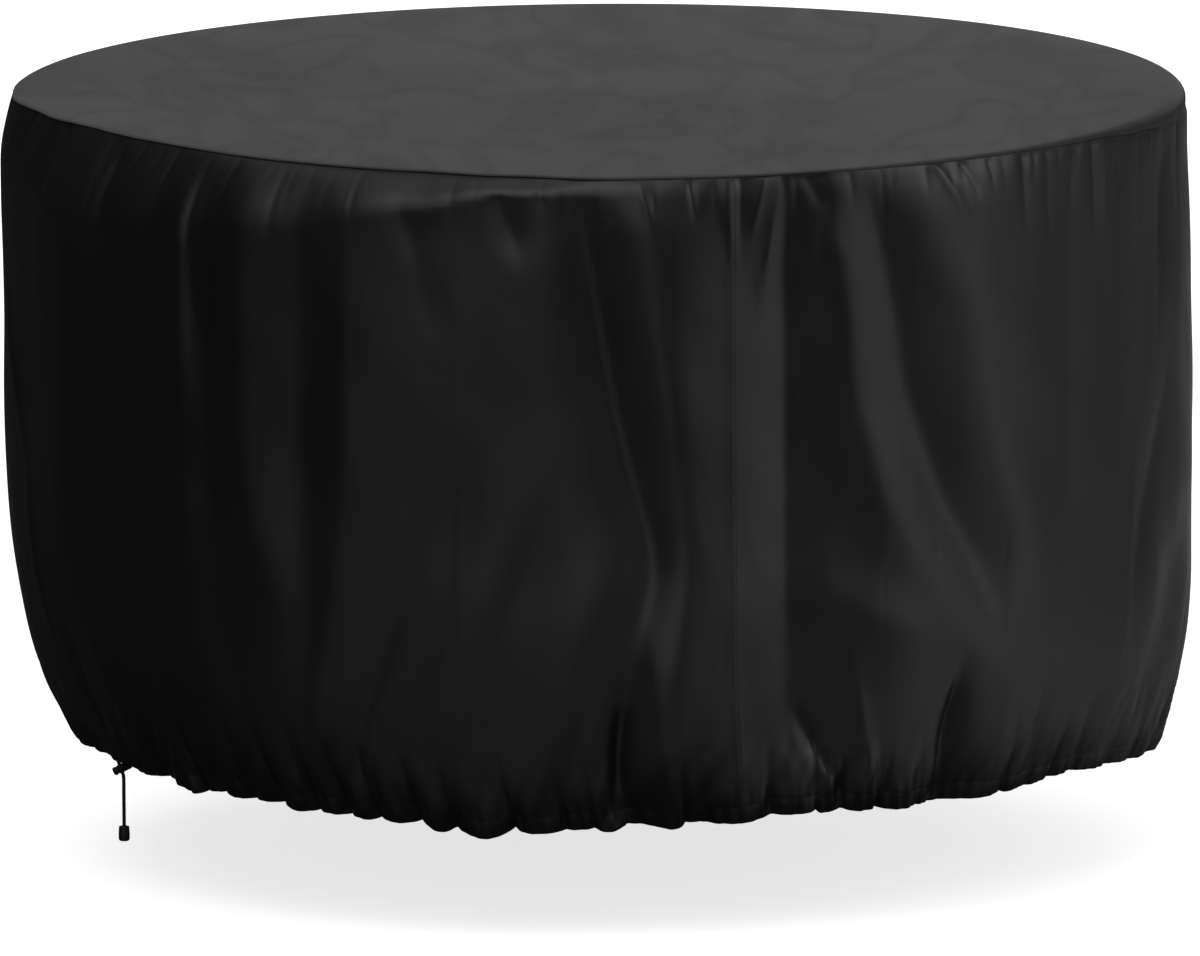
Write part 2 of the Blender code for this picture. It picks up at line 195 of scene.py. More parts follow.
# How far below the top panel the hem hangs, but for its bellies.
HEM_LEVELS = levels(
    (-180, 0.709), (-150, 0.703), (-120, 0.707), (-90, 0.699), (-70, 0.692), (-68, 0.690),
    (-65.8, 0.690), (-63, 0.6945), (-56, 0.696), (-40, 0.702), (-25, 0.709), (-12, 0.718),
    (0, 0.714), (10, 0.709), (21, 0.702), (40, 0.705), (59, 0.698), (75, 0.708), (90, 0.715),
    (120, 0.706), (150, 0.702),
)

Fold = namedtuple("Fold", "seam middle hem top foot left right depth")

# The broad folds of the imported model: those low on the front, then the sides and the back.
# A ridge is positive and a trough negative.
FOLDS = (
    Fold(-8, -14, -22, 0.34, 0.98, 3.5, 3.5, -0.007),
    Fold(6, -2, -14, 0.38, 0.98, 3.5, 3.5, -0.007),
    Fold(22, 22, 22, 0.70, 1.00, 4.0, 4.0, -0.010),
    Fold(40, 38, 35, 0.64, 1.00, 3.0, 3.0, -0.010),
    Fold(3, 2.5, 1, 0.66, 1.00, 3.0, 3.0, -0.009),
    Fold(84, 80, 68, 0.55, 1.00, 5.0, 5.0, -0.010),
    Fold(104, 102, 97, 0.04, 0.80, 3.0, 5.0, -0.018),
    Fold(116, 113, 108, 0.04, 0.76, 5.0, 3.0, 0.007),
    Fold(127, 131, 141, 0.04, 0.72, 2.5, 5.5, -0.018),
    Fold(138, 135, 128, 0.10, 0.96, 4.0, 4.5, 0.007),
    Fold(149, 149, 151, 0.04, 0.90, 2.5, 5.0, -0.020),
    Fold(160, 165, 178, 0.04, 0.76, 4.0, 3.0, 0.008),
    Fold(170, 177, 191, 0.04, 0.72, 2.5, 5.5, -0.020),
    Fold(187, 186, 183, 0.04, 0.92, 5.0, 4.0, 0.008),
    Fold(199, 195, 186, 0.04, 0.78, 3.0, 5.0, -0.017),
    Fold(211, 213, 221, 0.04, 0.72, 4.0, 4.0, 0.007),
    Fold(222, 225, 234, 0.04, 0.82, 3.0, 5.0, -0.016),
    Fold(236, 232, 227, 0.35, 1.00, 4.0, 4.0, -0.010),
    Fold(246, 248, 251, 0.04, 0.62, 4.0, 4.0, 0.006),
    Fold(258, 258, 260, 0.04, 0.52, 3.0, 4.0, -0.010),
)

Line = namedtuple("Line", "soft places")


def drag_line(soft, *places):
    return Line(soft, places)


# The crests and valleys of the front's long drags, from left to right. A place is a drop, an
# angle and how far the cloth stands out there in millimetres. Between two lines the cloth is
# nearly straight, and soft is the width in degrees over which it bends at a line.
DRAG_LINES = (
    drag_line(2.0, (0.00, -90, 0), (0.70, -90, 0)),
    # The pale strip near the left end.
    drag_line(2.5, (0.00, -74, 0), (0.05, -74, -1), (0.25, -73, -4), (0.45, -71, -2),
              (0.58, -70, 0)),
    drag_line(0.5, (0.00, -61.6, 0), (0.05, -61.8, 3), (0.18, -62.2, 8), (0.34, -62.2, 7),
              (0.50, -62.2, 0)),
    drag_line(0.8, (0.00, -57.5, 0), (0.05, -57.6, -2), (0.25, -58, -4), (0.45, -58.5, -1),
              (0.58, -59, 0)),
    # The short pale strip, and the dark slope beside it.
    drag_line(1.1, (0.00, -47.0, 0), (0.05, -47, -2), (0.18, -46.6, -5), (0.30, -46.4, -2),
              (0.45, -46, 0)),
    drag_line(0.5, (0.00, -44.4, 0), (0.05, -44.3, 3), (0.20, -44.0, 5), (0.45, -43, 1),
              (0.68, -42, 0)),
    drag_line(0.7, (0.00, -41.6, 0), (0.05, -41.4, -2), (0.20, -40.6, -4), (0.45, -40, -3),
              (0.68, -39.5, 0)),
    # The left drag, hooked at its foot: a crest, a valley and a sharper crest.
    drag_line(0.8, (0.00, -36.3, 0), (0.05, -36.2, 4), (0.25, -36.1, 7), (0.32, -36.1, 7),
              (0.38, -34.7, 7), (0.41, -33.8, 7), (0.46, -32.0, 6), (0.50, -31.0, 3),
              (0.56, -32.0, 0), (0.66, -34.0, 0)),
    drag_line(0.9, (0.00, -29.8, 0), (0.05, -29.8, -4), (0.14, -29.8, -7), (0.30, -29.8, -7),
              (0.38, -29.6, -6), (0.44, -29.0, -3), (0.50, -29.0, 0), (0.58, -31.0, 0),
              (0.66, -33.0, 0)),
    drag_line(0.35, (0.00, -24.6, 0), (0.05, -24.6, 2), (0.14, -24.6, 5), (0.32, -24.6, 6),
              (0.40, -25.4, 6), (0.46, -26.3, 6), (0.50, -27.0, 6), (0.58, -29.2, 5),
              (0.66, -31.6, 0)),
    drag_line(3.0, (0.00, -14, 0), (0.05, -14, -2), (0.25, -14, -3), (0.45, -14, -2),
              (0.56, -15, 0)),
    drag_line(2.2, (0.00, -5, 0), (0.05, -5, -2), (0.25, -3.5, -4), (0.36, -2.4, -1), (0.46, -3, 3),
              (0.56, -5, 2), (0.68, -8, 0)),
    # The middle drag: its valley, its crest and the pale facet that narrows down to a point.
    drag_line(0.4, (0.00, -1.8, 0), (0.03, -1.5, -7), (0.06, -1.0, -13), (0.14, 0.2, -19),
              (0.25, 1.9, -21), (0.32, 3.5, -20), (0.385, 5.3, -16), (0.43, 5.6, -12),
              (0.49, 4.2, -8), (0.55, 2.4, -7), (0.66, -0.2, -5)),
    drag_line(1.2, (0.00, 3.3, 0), (0.03, 3.9, 7), (0.066, 4.9, 12), (0.158, 5.6, 16),
              (0.247, 6.7, 15), (0.32, 7.5, 12), (0.41, 8.2, 10), (0.48, 7.8, 12), (0.55, 7.0, 16),
              (0.66, 5.8, 17)),
    drag_line(0.8, (0.00, 5.4, 0), (0.05, 7.2, 8), (0.128, 8.6, 8), (0.20, 10.6, 2),
              (0.26, 11.4, 0), (0.41, 11.6, 0), (0.56, 11.6, 1), (0.66, 11.5, 1)),
    drag_line(0.7, (0.00, 17.0, 0), (0.05, 16.3, -8), (0.128, 15.2, -11), (0.20, 14.8, -9),
              (0.26, 14.8, -9), (0.41, 14.8, -10), (0.56, 15.0, -12), (0.66, 15.0, -13)),
    # The straight valley and the broad dark slope beside it.
    drag_line(0.4, (0.00, 18.9, 0), (0.03, 18.9, -9), (0.06, 18.9, -14), (0.14, 18.9, -21),
              (0.25, 19.0, -23), (0.39, 19.0, -24), (0.50, 19.0, -24), (0.60, 19.0, -22),
              (0.70, 19.6, -13)),
    drag_line(1.8, (0.00, 22.0, 0), (0.05, 22.4, -3), (0.14, 22.8, -11), (0.25, 23.6, -12),
              (0.36, 24.6, -13.5), (0.43, 25.6, -14), (0.56, 27.0, -12), (0.66, 27.0, -9)),
    # The right drag: its crest, its valley, and the long pale facet past it.
    drag_line(1.8, (0.00, 23.0, 0), (0.05, 23.9, 2), (0.14, 24.9, 1), (0.25, 26.2, 1),
              (0.36, 29.6, 1), (0.43, 33.4, 0), (0.49, 37.0, 0), (0.56, 41.0, 0)),
    drag_line(0.8, (0.00, 26.9, 0), (0.03, 27.2, -5), (0.06, 28.2, -8), (0.14, 29.9, -11),
              (0.25, 31.6, -14), (0.36, 35.6, -16), (0.43, 39.4, -14), (0.50, 42.6, -6),
              (0.57, 44.6, 0)),
    drag_line(2.2, (0.00, 33.3, 0), (0.05, 35.3, 11), (0.14, 38.2, 17), (0.25, 40.4, 17),
              (0.36, 43.2, 15), (0.45, 46.6, 8), (0.57, 49.0, 1)),
    drag_line(1.0, (0.00, 34.8, 0), (0.05, 37.8, 8), (0.14, 43.0, 10), (0.25, 49.3, 5),
              (0.33, 50.4, -2), (0.57, 50.5, 0)),
    drag_line(0.8, (0.00, 52, 0), (0.05, 52.2, -3), (0.14, 52.3, -5), (0.36, 52.3, -5),
              (0.57, 52, 0)),
    drag_line(2.0, (0.00, 57, 0), (0.05, 57, 0.5), (0.36, 58.5, 1), (0.57, 60, 0)),
    drag_line(1.0, (0.00, 73, 0), (0.05, 72.5, -3), (0.14, 70, -5), (0.25, 67, -6), (0.36, 64, -5),
              (0.57, 60.5, 0)),
    drag_line(2.0, (0.00, 90, 0), (0.70, 90, 0)),
)

Crease = namedtuple("Crease", "angle drop end_angle end_drop left right depth edge")

# The smaller creases that sit on the main folds. Each runs straight from one place to another,
# narrowing towards its end. left and right are its half widths, and edge says how soft its
# middle is: 0.5 is round and 0.1 is sharp.
CREASES = (
    # The slack band across the foot of the middle drag.
    Crease(16.8, 0.430, 37.0, 0.530, 0.040, 0.034, 0.0040, 0.70),
    Crease(18.9, 0.510, 27.0, 0.610, 0.024, 0.028, -0.0030, 0.50),
    Crease(19.8, 0.585, 25.2, 0.690, 0.007, 0.010, -0.0070, 0.20),
    Crease(28.4, 0.720, 25.6, 0.515, 0.022, 0.014, 0.0050, 0.40),
    Crease(36.0, 0.735, 38.3, 0.540, 0.013, 0.020, -0.0200, 0.35),
    Crease(-0.7, 0.740, 2.9, 0.530, 0.013, 0.019, -0.0180, 0.35),
    Crease(22.8, 0.740, 22.0, 0.640, 0.014, 0.018, -0.0080, 0.30),
    Crease(6.5, 0.740, 5.0, 0.480, 0.012, 0.040, 0.0060, 0.30),
    # The long slants across the front's left half.
    Crease(-12.7, 0.300, -30.0, 0.720, 0.032, 0.020, -0.0100, 0.30),
    Crease(-2.9, 0.300, -17.0, 0.720, 0.032, 0.020, -0.0105, 0.30),
    Crease(1.5, 0.460, -6.5, 0.740, 0.014, 0.020, -0.0065, 0.30),
    Crease(-13.4, 0.040, -13.6, 0.640, 0.0040, 0.0040, 0.0007, 0.20),
    Crease(-9.5, 0.380, -22.0, 0.700, 0.018, 0.026, 0.0025, 0.50),
    Crease(-19.0, 0.04, -15.0, 0.18, 0.024, 0.022, -0.0016, 0.50),
    # The left third.
    Crease(-83.0, 0.18, -73.0, 0.40, 0.012, 0.008, 0.0040, 0.20),
    Crease(-73.4, 0.36, -72.0, 0.58, 0.012, 0.008, 0.0038, 0.20),
    Crease(-58.4, -0.02, -56.6, 0.16, 0.014, 0.022, -0.0035, 0.25),
    Crease(-43.8, -0.02, -42.0, 0.26, 0.010, 0.022, -0.0030, 0.20),
    Crease(-55.0, 0.30, -51.0, 0.66, 0.024, 0.024, -0.0040, 0.40),
    Crease(-62.0, 0.52, -57.0, 0.70, 0.014, 0.016, 0.0040, 0.30),
    Crease(-67.5, 0.54, -66.0, 0.68, 0.014, 0.020, -0.0050, 0.30),
    # The right end.
    Crease(59.0, -0.02, 58.4, 0.22, 0.009, 0.010, 0.0024, 0.20),
    Crease(76.4, 0.00, 71.0, 0.26, 0.012, 0.018, -0.0035, 0.15),
    Crease(74.8, 0.29, 62.0, 0.52, 0.018, 0.024, -0.0060, 0.20),
    Crease(66.0, 0.30, 60.5, 0.62, 0.024, 0.018, 0.0035, 0.40),
    Crease(85.5, 0.52, 80.6, 0.70, 0.014, 0.030, -0.0080, 0.15),
    Crease(44.5, 0.42, 43.2, 0.70, 0.024, 0.020, 0.0040, 0.40),
    Crease(50.0, 0.56, 48.0, 0.72, 0.010, 0.016, -0.0050, 0.25),
    Crease(58.6, 0.60, 57.0, 0.72, 0.010, 0.016, -0.0045, 0.25),
    Crease(70.0, 0.60, 68.0, 0.72, 0.012, 0.018, -0.0050, 0.25),
)

# Single puckers that show under the rim seam.
RIM_PUCKERS = (
    Crease(-70.4, -0.02, -69.6, 0.090, 0.010, 0.014, -0.0036, 0.20),
    Crease(-60.2, -0.02, -59.4, 0.095, 0.010, 0.014, -0.0036, 0.20),
    Crease(-54.8, -0.02, -55.2, 0.080, 0.008, 0.012, -0.0030, 0.20),
    Crease(-49.4, -0.02, -49.0, 0.060, 0.007, 0.011, -0.0026, 0.20),
    Crease(-39.6, -0.02, -40.0, 0.070, 0.008, 0.011, -0.0028, 0.20),
    Crease(-33.2, -0.02, -33.0, 0.080, 0.007, 0.010, -0.0026, 0.20),
    Crease(-24.4, -0.02, -24.0, 0.060, 0.006, 0.009, -0.0024, 0.20),
    Crease(-19.8, 0.01, -17.0, 0.095, 0.014, 0.030, -0.0044, 0.45),
    Crease(-9.9, 0.01, -6.9, 0.095, 0.014, 0.030, -0.0046, 0.45),
    Crease(-13.8, -0.02, -14.2, 0.050, 0.005, 0.008, -0.0020, 0.20),
    Crease(-5.4, -0.02, -5.0, 0.040, 0.005, 0.008, -0.0022, 0.20),
    Crease(3.4, -0.02, 5.8, 0.060, 0.006, 0.008, 0.0026, 0.20),
    Crease(9.0, -0.02, 9.6, 0.050, 0.005, 0.007, -0.0020, 0.20),
    Crease(12.6, -0.02, 13.1, 0.080, 0.007, 0.005, 0.0022, 0.20),
    Crease(14.2, -0.02, 14.0, 0.070, 0.005, 0.007, -0.0024, 0.20),
    Crease(17.0, -0.02, 15.1, 0.070, 0.006, 0.006, 0.0024, 0.20),
    Crease(17.9, 0.03, 16.0, 0.180, 0.007, 0.006, 0.0026, 0.20),
    Crease(20.6, 0.00, 23.2, 0.048, 0.014, 0.018, -0.0046, 0.25),
    Crease(22.0, 0.08, 25.0, 0.080, 0.010, 0.012, 0.0018, 0.30),
    Crease(33.2, -0.02, 38.6, 0.070, 0.009, 0.007, 0.0036, 0.20),
    Crease(36.6, -0.02, 39.8, 0.040, 0.005, 0.008, -0.0026, 0.20),
    Crease(41.0, -0.02, 41.6, 0.040, 0.004, 0.006, -0.0018, 0.20),
    Crease(45.6, -0.02, 45.9, 0.090, 0.007, 0.011, -0.0026, 0.25),
    Crease(49.2, -0.02, 49.6, 0.110, 0.008, 0.012, -0.0028, 0.25),
    Crease(53.4, -0.02, 53.2, 0.080, 0.007, 0.010, -0.0024, 0.25),
    Crease(56.8, -0.02, 57.0, 0.110, 0.008, 0.012, -0.0032, 0.25),
    Crease(61.6, -0.02, 61.0, 0.090, 0.006, 0.009, -0.0026, 0.20),
    Crease(66.4, -0.02, 66.6, 0.060, 0.005, 0.008, -0.0022, 0.20),
    Crease(74.2, -0.02, 73.8, 0.220, 0.010, 0.014, -0.0032, 0.25),
    Crease(80.0, -0.02, 79.4, 0.130, 0.010, 0.013, -0.0022, 0.25),
)

Bunch = namedtuple("Bunch", "angle drop sag belly")

# The hem hangs in bellies between the places where the drawcord pinches it: the angle and the
# drop of each pinch, how far the cloth sags before the next one, and where its belly is.
FRONT_BUNCHES = (
    Bunch(-90.0, 0.6970, 0.0010, 0.50),
    Bunch(-84.0, 0.6955, 0.0012, 0.50),
    Bunch(-77.0, 0.6915, 0.0010, 0.50),
    Bunch(-71.4, 0.6885, 0.0006, 0.50),
    Bunch(-66.6, 0.6888, 0.0006, 0.40),
    Bunch(-62.6, 0.6940, 0.0018, 0.50),
    Bunch(-57.3, 0.6930, 0.0066, 0.76),
    Bunch(-49.7, 0.6974, 0.0012, 0.50),
    Bunch(-46.8, 0.6960, 0.0034, 0.45),
    Bunch(-42.3, 0.6978, 0.0022, 0.40),
    Bunch(-38.4, 0.6984, 0.0046, 0.40),
    Bunch(-34.0, 0.7030, 0.0018, 0.50),
    Bunch(-30.0, 0.7044, 0.0036, 0.60),
    Bunch(-26.2, 0.7043, 0.0040, 0.50),
    Bunch(-21.5, 0.7050, 0.0078, 0.60),
    Bunch(-17.6, 0.7100, 0.0122, 0.52),
    Bunch(-10.9, 0.7070, 0.0062, 0.34),
    Bunch(-5.6, 0.7106, 0.0010, 0.50),
    Bunch(-2.4, 0.7088, 0.0060, 0.50),
    Bunch(1.0, 0.7054, 0.0056, 0.80),
    Bunch(7.2, 0.7034, 0.0004, 0.50),
    Bunch(8.8, 0.7030, 0.0050, 0.55),
    Bunch(16.6, 0.6982, 0.0024, 0.55),
    Bunch(21.8, 0.6970, 0.0050, 0.35),
    Bunch(24.6, 0.6964, 0.0038, 0.45),
    Bunch(28.6, 0.6985, 0.0036, 0.50),
    Bunch(33.8, 0.7012, 0.0014, 0.45),
    Bunch(37.5, 0.7012, 0.0024, 0.64),
    Bunch(45.5, 0.6995, 0.0022, 0.35),
    Bunch(49.2, 0.6990, 0.0010, 0.45),
    Bunch(53.4, 0.6954, 0.0008, 0.50),
    Bunch(57.9, 0.6944, 0.0018, 0.50),
    Bunch(65.1, 0.6980, 0.0016, 0.50),
    Bunch(72.2, 0.7040, 0.0016, 0.50),
    Bunch(79.0, 0.7085, 0.0030, 0.50),
)


# ---------------------------------------------------------------- camera

MM_PER_PIXEL = 1.0765
PICTURE_WIDTH = 1200
PICTURE_MIDDLE = Vector((0.0035, 0.0, -0.4215))
VIEW_DISTANCE = 46.0
VIEW_ELEVATION = 9.16
VIEW_ROLL = -0.41
SENSOR = 36.0


def make_camera():
    lens = bpy.data.cameras.new("view")
    lens.sensor_width = SENSOR
    lens.lens = SENSOR * VIEW_DISTANCE / (PICTURE_WIDTH * MM_PER_PIXEL / 1000.0)
    lens.clip_start = 5.0
    lens.clip_end = 300.0
    camera = bpy.data.objects.new("view", lens)
    bpy.context.scene.collection.objects.link(camera)
    up = math.radians(VIEW_ELEVATION)
    back = Vector((0.0, -math.cos(up), math.sin(up)))
    turn = (-back).to_track_quat("-Z", "Y").to_matrix().to_4x4()
    roll = Matrix.Rotation(math.radians(VIEW_ROLL), 4, "Z")
    camera.matrix_world = Matrix.Translation(PICTURE_MIDDLE + back * VIEW_DISTANCE) @ turn @ roll
    bpy.context.scene.camera = camera


# ---------------------------------------------------------------- shared helpers


def ramp(value, start, end):
    """0 up to start, 1 from end on, and a soft step between them."""
    part = np.clip((value - start) / (end - start), 0.0, 1.0)
    return part * part * (3.0 - 2.0 * part)


def turn_between(angle, other):
    """The turn from other to angle the short way round, in degrees."""
    return (angle - other + 180.0) % 360.0 - 180.0


def row_before(rows, angle):
    """Which row of a table comes before each angle, and how near the next row it is, 0 to 1."""
    first = rows[0].angle
    angles = np.array([row.angle for row in rows] + [first + 360.0])
    around = (np.asarray(angle, float) - first) % 360.0 + first
    before = np.clip(np.searchsorted(angles, around, side="right") - 1, 0, len(rows) - 1)
    return before, (around - angles[before]) / (angles[before + 1] - angles[before])


def level_at(table, angle):
    """The value of a table at each angle, with soft steps between its rows."""
    before, part = row_before(table, angle)
    values = np.array([row.value for row in table + table[:1]])
    return values[before] + ramp(part, 0.0, 1.0) * (values[before + 1] - values[before])


def stack(*columns):
    return np.stack(np.broadcast_arrays(*columns), axis=-1)


def mesh_piece(name, points, faces, metres=None, smooth=True):
    """A mesh object. metres holds a pair for each face corner, where it lies on the flat cloth."""
    mesh = bpy.data.meshes.new(name)
    mesh.from_pydata(points.tolist(), [], faces)
    if metres is not None:
        layer = mesh.uv_layers.new(name="cloth_metres")
        layer.uv.foreach_set("vector", np.asarray(metres, np.float32).ravel())
    if smooth:
        mesh.shade_smooth()
    piece = bpy.data.objects.new(name, mesh)
    bpy.context.scene.collection.objects.link(piece)
    return piece


# ---------------------------------------------------------------- the drawcord's free tail

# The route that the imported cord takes: down through its lock, and plumb to its end piece.
CORD_ROUTE = (
    (-0.51599, -0.23083, -0.68590),
    (-0.51500, -0.23040, -0.68870),
    (-0.51330, -0.22970, -0.69340),
    (-0.51160, -0.22900, -0.69810),
    (-0.51010, -0.22830, -0.70290),
    (-0.50950, -0.22800, -0.70780),
    (-0.50950, -0.22800, -0.72160),
    (-0.50950, -0.22800, -0.73550),
    (-0.50950, -0.22800, -0.74930),
    (-0.50950, -0.22800, -0.76320),
)
CORD_EXIT = CORD_ROUTE[1]
CORD_ROWS = 260
CORD_AROUND = 48
ROUTE_STEPS = 24


def smooth_line(points, count):
    """Evenly spaced points on a soft curve through a route's own points."""
    given = np.array(points)
    ends = np.vstack([2 * given[0] - given[1], given, 2 * given[-1] - given[-2]])
    part = np.linspace(0.0, 1.0, ROUTE_STEPS, endpoint=False)[:, None]
    runs = []
    for first, start, end, after in zip(ends, ends[1:], ends[2:], ends[3:]):
        slope = (end - first) * part
        bend = (2 * first - 5 * start + 4 * end - after) * part**2
        swing = (3 * start - first - 3 * end + after) * part**3
        runs.append(0.5 * (2 * start + slope + bend + swing))
    fine = np.vstack(runs + [given[-1:]])
    walked = np.concatenate([[0.0], np.cumsum(np.linalg.norm(np.diff(fine, axis=0), axis=1))])
    places = np.linspace(0.0, walked[-1], count)
    return np.stack([np.interp(places, walked, fine[:, axis]) for axis in range(3)], axis=1)


def braid_relief(turn, along):
    """How the braid's strands stand up as they pass over and under each other, from 0 to 1."""
    lead = BRAID_STRANDS * turn + along / BRAID_STEP
    follow = BRAID_STRANDS * turn - along / BRAID_STEP
    over = (np.floor(lead) + np.floor(follow)) % 2.0 < 0.5
    across = np.where(over, lead % 1.0, follow % 1.0)
    length = np.where(over, follow % 1.0, lead % 1.0)
    return np.sin(np.pi * across) ** 0.6 * (0.45 + 0.55 * np.sin(np.pi * length))


def make_drawcord():
    """The braided tail, its strands standing up from its round core."""
    line = smooth_line(CORD_ROUTE, CORD_ROWS)
    heading = np.gradient(line, axis=0)
    heading /= np.linalg.norm(heading, axis=1)[:, None]
    side = np.cross(heading, (0.0, 1.0, 0.0))
    side /= np.linalg.norm(side, axis=1)[:, None]
    other = np.cross(heading, side)
    turn = np.arange(CORD_AROUND) / CORD_AROUND
    along = np.linspace(0.0, CORD_LENGTH, CORD_ROWS)
    relief = braid_relief(turn[None, :], along[:, None])
    radius = CORD_RADIUS - BRAID_RELIEF * (1.0 - relief)
    round_turn = 2.0 * np.pi * turn
    points = (
        line[:, None, :]
        + (radius * np.cos(round_turn))[:, :, None] * side[:, None, :]
        + (radius * np.sin(round_turn))[:, :, None] * other[:, None, :]
    )
    faces = []
    metres = []
    for row in range(CORD_ROWS - 1):
        for column in range(CORD_AROUND):
            after = (column + 1) % CORD_AROUND
            low = row * CORD_AROUND
            high = low + CORD_AROUND
            faces.append((low + column, low + after, high + after, high + column))
            left = turn[column] * CORD_GIRTH
            right = left + CORD_GIRTH / CORD_AROUND
            metres += [
                (left, along[row]),
                (right, along[row]),
                (right, along[row + 1]),
                (left, along[row + 1]),
            ]
    for row in (0, CORD_ROWS - 1):
        ring = [row * CORD_AROUND + column for column in range(CORD_AROUND)]
        faces.append(ring if row else ring[::-1])
        metres += [(0.0, along[row])] * CORD_AROUND
    cord = mesh_piece("drawcord_tail", points.reshape(-1, 3), faces, metres)
    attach(cord, "cover")
    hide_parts("drawcord")
    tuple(CORD_EXIT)
    return cord


# ---------------------------------------------------------------- where the cloth hangs


def fold_angle(fold, share):
    """A fold runs down the skirt on a soft arc through its three angles."""
    return (
        fold.seam * (1.0 - share) * (1.0 - 2.0 * share)
        + fold.middle * 4.0 * share * (1.0 - share)
        + fold.hem * share * (2.0 * share - 1.0)
    )


def fold_relief(angle, share):
    """How far the main folds push the cloth out."""
    depth = np.zeros(np.broadcast(angle, share).shape)
    for fold in FOLDS:
        start = FOLD_START if fold.top < HIGH_FOLD else LOW_FOLD_START
        strength = ramp(share, fold.top, fold.top + start)
        strength = strength * (1.0 - ramp(share, fold.foot - FOLD_FADE, fold.foot))
        side = turn_between(angle, fold_angle(fold, share))
        width = np.where(side < 0.0, fold.left, fold.right)
        depth += fold.depth * strength * np.exp(-((side / width) ** 2))
    return depth


def soft_track(drag):
    """A line's drops, angles and heights at close steps, rounded where its places bend it."""
    drop, angle, height = np.array(drag.places).T
    steps = np.arange(TRACK_TOP, TRACK_FOOT, TRACK_STEP)
    beside = np.arange(-TRACK_REACH, TRACK_REACH + 1)
    bell = np.exp(-((beside * TRACK_STEP / TRACK_SOFT) ** 2))
    bell /= bell.sum()
    tracks = []
    for values in (angle, 0.001 * height):
        padded = np.pad(np.interp(steps, drop, values), TRACK_REACH, mode="edge")
        tracks.append(np.convolve(padded, bell, mode="valid"))
    return steps, tracks[0], tracks[1]


def drag_relief(angle, drop):
    """How far the long drags push the cloth out: straight facets between soft lines."""
    around = turn_between(angle, 0.0)
    places = []
    for drag in DRAG_LINES:
        steps, angles, heights = soft_track(drag)
        places.append((np.interp(drop, steps, angles), np.interp(drop, steps, heights), drag.soft))
    relief = np.zeros(np.broadcast(angle, drop).shape)
    slope = 0.0
    for here, there in zip(places, places[1:] + [None]):
        after = 0.0
        if there is not None:
            after = (there[1] - here[1]) / np.maximum(there[0] - here[0], LEAST_GAP)
        side = around - here[0]
        relief += (after - slope) * 0.5 * (side + np.sqrt(side**2 + here[2] ** 2))
        slope = after
    return relief


def crease_relief(creases, angle, drop):
    """How far a table of straight creases pushes the cloth out."""
    relief = np.zeros(np.broadcast(angle, drop).shape)
    for crease in creases:
        across = turn_between(angle, crease.angle) * DEGREE
        down = drop - crease.drop
        run_across = turn_between(crease.end_angle, crease.angle) * DEGREE
        run_down = crease.end_drop - crease.drop
        length = math.hypot(run_across, run_down)
        along = (across * run_across + down * run_down) / length**2
        side = (across * run_down - down * run_across) / length
        if run_down < 0.0:
            side = -side
        taper = 1.0 - 0.5 * np.clip(along, 0.0, 1.0)
        width = np.where(side < 0.0, crease.left, crease.right) * taper
        reach = np.sqrt((side / width) ** 2 + crease.edge**2) - crease.edge
        fade = ramp(along, -0.12, 0.08 + length) * (1.0 - ramp(along, 0.55, 1.10))
        relief += crease.depth * fade * np.exp(-reach)
    return relief


def seeded_puckers():
    """Small uneven puckers all round under the rim seam."""
    chance = np.random.default_rng(11)
    puckers = []
    angle = -180.0
    while angle < 179.0:
        angle += chance.uniform(1.1, 3.4)
        long = chance.uniform(0.020, 0.062)
        lean = chance.uniform(-0.6, 0.6)
        narrow = chance.uniform(0.0030, 0.0070)
        depth = -chance.uniform(0.0006, 0.0019)
        puckers.append(
            Crease(angle, -0.02, angle + lean, long, narrow, 1.4 * narrow, depth, 0.25)
        )
    return tuple(puckers)


def seeded_back_bunches():
    """The hem's bellies on the side and the back, from 90 degrees round to -90."""
    chance = np.random.default_rng(5)
    bunches = []
    angle = 90.0
    while angle < 266.0:
        sag = chance.uniform(0.0015, 0.0085)
        level = float(level_at(HEM_LEVELS, angle)) - chance.uniform(0.0005, 0.0045)
        bunches.append(Bunch(angle, level, sag, chance.uniform(0.3, 0.7)))
        angle += chance.uniform(2.6, 8.5)
    return tuple(bunches)


def seeded_gathers(bunches):
    """A short crease that rises from each pinch of the drawcord, and finer ones beside it."""
    chance = np.random.default_rng(23)
    gathers = []
    for bunch in bunches:
        if abs(turn_between(bunch.angle, LOCK_ANGLE)) < LOCK_STILL:
            continue
        for aside, strength in ((0.0, 1.0), (1.1, 0.5), (-1.2, 0.5), (2.3, 0.3), (-2.2, 0.3)):
            start = bunch.angle + aside * chance.uniform(0.6, 1.3)
            tall = chance.uniform(0.030, 0.095) * (0.5 + 0.5 * strength)
            lean = chance.uniform(-0.4, 3.4)
            narrow = chance.uniform(0.0035, 0.0080)
            depth = -chance.uniform(0.0032, 0.0058) * strength
            foot = bunch.drop + 0.012
            gathers.append(
                Crease(start, foot, start + lean, foot - tall, narrow, 1.3 * narrow, depth, 0.2)
            )
    return tuple(gathers)


BUNCHES = FRONT_BUNCHES + seeded_back_bunches()
PUCKERS = RIM_PUCKERS + seeded_puckers()
GATHERS = seeded_gathers(BUNCHES)


def hem_shape(angle):
    """The hem's drop at each angle, and how near each place is to the belly of its bunch."""
    before, part = row_before(BUNCHES, angle)
    drops = np.array([bunch.drop for bunch in BUNCHES + BUNCHES[:1]])
    sag = np.array([bunch.sag for bunch in BUNCHES])[before]
    middle = np.array([bunch.belly for bunch in BUNCHES])[before]
    chord = drops[before] + part * (drops[before + 1] - drops[before])
    skewed = part ** (math.log(0.5) / np.log(middle))
    belly = np.sin(np.pi * np.clip(skewed, 0.0, 1.0)) ** 0.75
    return chord + sag * belly, belly * np.minimum(1.0, 0.25 + sag / FULL_SAG)


